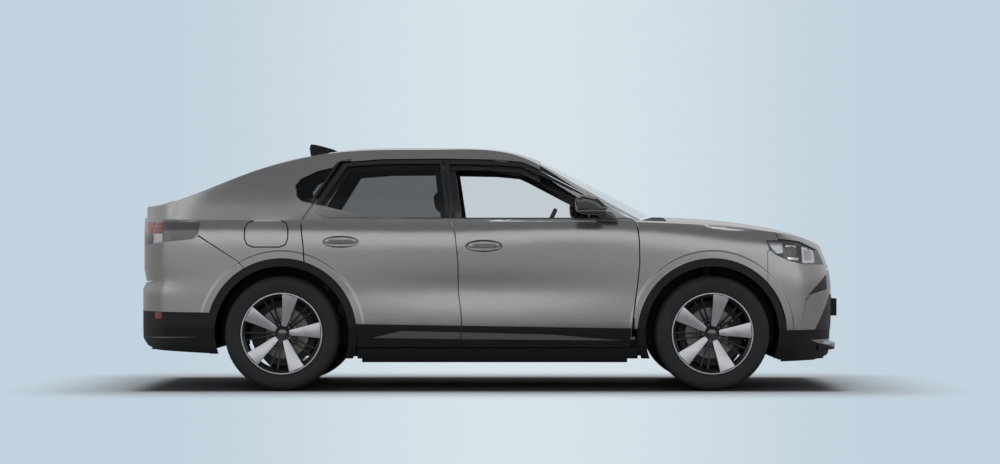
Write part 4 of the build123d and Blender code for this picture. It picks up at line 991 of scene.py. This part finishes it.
def pad(size, channels, crown=0.18, roundness=0.85, detail=9):
    """A crowned pad about the origin, its size along X, Y and Z, with sewn channels across its top.

    The channels are at shares of its half length, from -1 to 1, and then one more runs down each side.
    """
    mesh = bmesh.new()
    bmesh.ops.create_cube(mesh, size=2)
    bmesh.ops.subdivide_edges(mesh, edges=mesh.edges, cuts=detail, use_grid_fill=True)
    half = Vector(size) / 2
    soft = min(half) * roundness
    for vertex in mesh.verts:
        u, v, w = vertex.co
        place = Vector((u * half.x, v * half.y, w * half.z))
        core = Vector([max(-h + soft, min(h - soft, p)) for p, h in zip(place, half)])
        place = core + (place - core).normalized() * soft if (place - core).length > 1e-9 else place
        place.z *= 1 - crown + crown * (1 - u * u) ** 0.5 * (1 - v * v) ** 0.5
        place.y *= 1 - 0.05 * (1 - abs(u)) * abs(v)
        vertex.co = place
    mesh = blown(mesh)
    for vertex in mesh.verts:
        u, v = vertex.co.x / half.x, vertex.co.y / half.y
        for channel in channels:
            vertex.co.z -= seam(u - channel, v, SEAM_DEPTH) * (vertex.co.z > 0)
        if channels:
            vertex.co.z -= seam(abs(v) - SIDE_SEAM_AT, u, SIDE_SEAM_DEPTH) * (vertex.co.z > 0)
    return mesh


# Each pad is given as its size, channels, tilt, the x and z of its middle and the y of each copy.
DRIVERS, BENCH, HEADS = (-0.370, 0.370), (-0.430, 0.0, 0.430), (-0.350, 0.350)
FRONT_PADS = [((0.498, 0.466, 0.094), (-0.5, 0, 0.5), -4, 0.070, 0.515, DRIVERS),
              ((0.548, 0.456, 0.105), (-0.45, 0, 0.45), -104, -0.206, 0.850, DRIVERS),
              ((0.132, 0.240, 0.078), (), -102, -0.328, 1.224, DRIVERS)]
REAR_PADS = [((0.458, 0.414, 0.098), (-0.4, 0.2), -4, -0.770, 0.530, BENCH),
             ((0.508, 0.414, 0.082), (-0.3, 0.3), -105.5, -1.090, 0.868, BENCH),
             ((0.098, 0.222, 0.058), (), -101, -1.199, 1.205, HEADS)]
for name, node, rows in (("front_seat_pads", "front_seats", FRONT_PADS),
                         ("rear_bench_pads", "rear_bench", REAR_PADS)):
    pads_mesh = bmesh.new()
    for size, channels, tilt, x, z, places in rows:
        cushion = pad(size, channels)
        for y in places:
            copy = cushion.copy()
            rotated(copy, "Y", tilt)
            bmesh.ops.translate(copy, vec=(x, y, z), verts=copy.verts)
            poured(pads_mesh, copy)
    pads = keep_mesh(pads_mesh, name, weave)
    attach(pads, "body")
    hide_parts(node)

SEAT_BASE = (Vector((-0.160, -0.200, 0.320)), Vector((0.290, 0.200, 0.472)))
POST_HALF, POST_TOP, POST_APART = 0.006, 1.165, (-0.0625, 0.0625)
POSTS = [(DRIVERS, -0.318, -0.304, 1.105), (HEADS, -1.203, -1.192, 1.100)]
seat_frames = bmesh.new()
for y in DRIVERS:
    poured(seat_frames, boxed(*(corner + Y * y for corner in SEAT_BASE)))
for places, back, front, foot in POSTS:
    for middle in [y + post for y in places for post in POST_APART]:
        poured(seat_frames, boxed((back, middle - POST_HALF, foot), (front, middle + POST_HALF, POST_TOP)))
seat_frame = keep_mesh(seat_frames, "seat_frames", grille)
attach(seat_frame, "body")

# ======== steering wheel
# A steel ring covered in foam and leather, with three arms from a padded boss. It leans with its
# column, in front of the left seat.
WHEEL_MIDDLE, WHEEL_LEAN = (0.372, 0.370, 1.032), 25
RIM_RADIUS, RIM_HALF = 0.170, 0.0145
ARMS = {90: 0.022, 270: 0.022, 180: 0.018}
ARM_LINE, ARM_DEPTH = [(0.030, -0.010), (0.110, -0.006), (0.166, 0.0)], 0.007
BOSS = [(0.0001, 0.004), (0.045, 0.002), (0.060, -0.006), (0.062, -0.014), (0.0001, -0.014)]
leather = Finish("rim_leather", base_color=(0.018, 0.018, 0.019), roughness=0.5)
leather.bump(leather.noise(900, detail=3), 0.3, 0.0004)
rim_mesh = turned(circle(RIM_RADIUS, 0.0, RIM_HALF), 64)
for angle, half in ARMS.items():
    poured(rim_mesh, spoke([(reach, out, half) for reach, out in ARM_LINE], ARM_DEPTH, angle))
poured(rim_mesh, turned(BOSS, 40))
rotated(rim_mesh, "Z", 90)
rotated(rim_mesh, "Y", WHEEL_LEAN)
bmesh.ops.translate(rim_mesh, vec=WHEEL_MIDDLE, verts=rim_mesh.verts)
rim = keep_mesh(rim_mesh, "steering_wheel_rim", leather)
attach(rim, "steering_wheel")
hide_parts("steering_wheel")

# ======== displays
# Two glass-fronted screens with rounded edges, fixed to the dashboard: a wide one in the middle and
# a low one behind the steering wheel.
CENTRE_SCREEN = ((0.486, -0.165, 1.000), (0.500, 0.165, 1.108))
DRIVERS_SCREEN = ((0.512, 0.245, 1.070), (0.524, 0.495, 1.120))
display_glass = Finish("display_glass", base_color=(0.008, 0.009, 0.011), roughness=0.08, coat_weight=1.0)
screens = boxed(*CENTRE_SCREEN)
poured(screens, boxed(*DRIVERS_SCREEN))
eased(screens, size=0.004)
display = keep_mesh(screens, "displays", display_glass)
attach(display, "body")
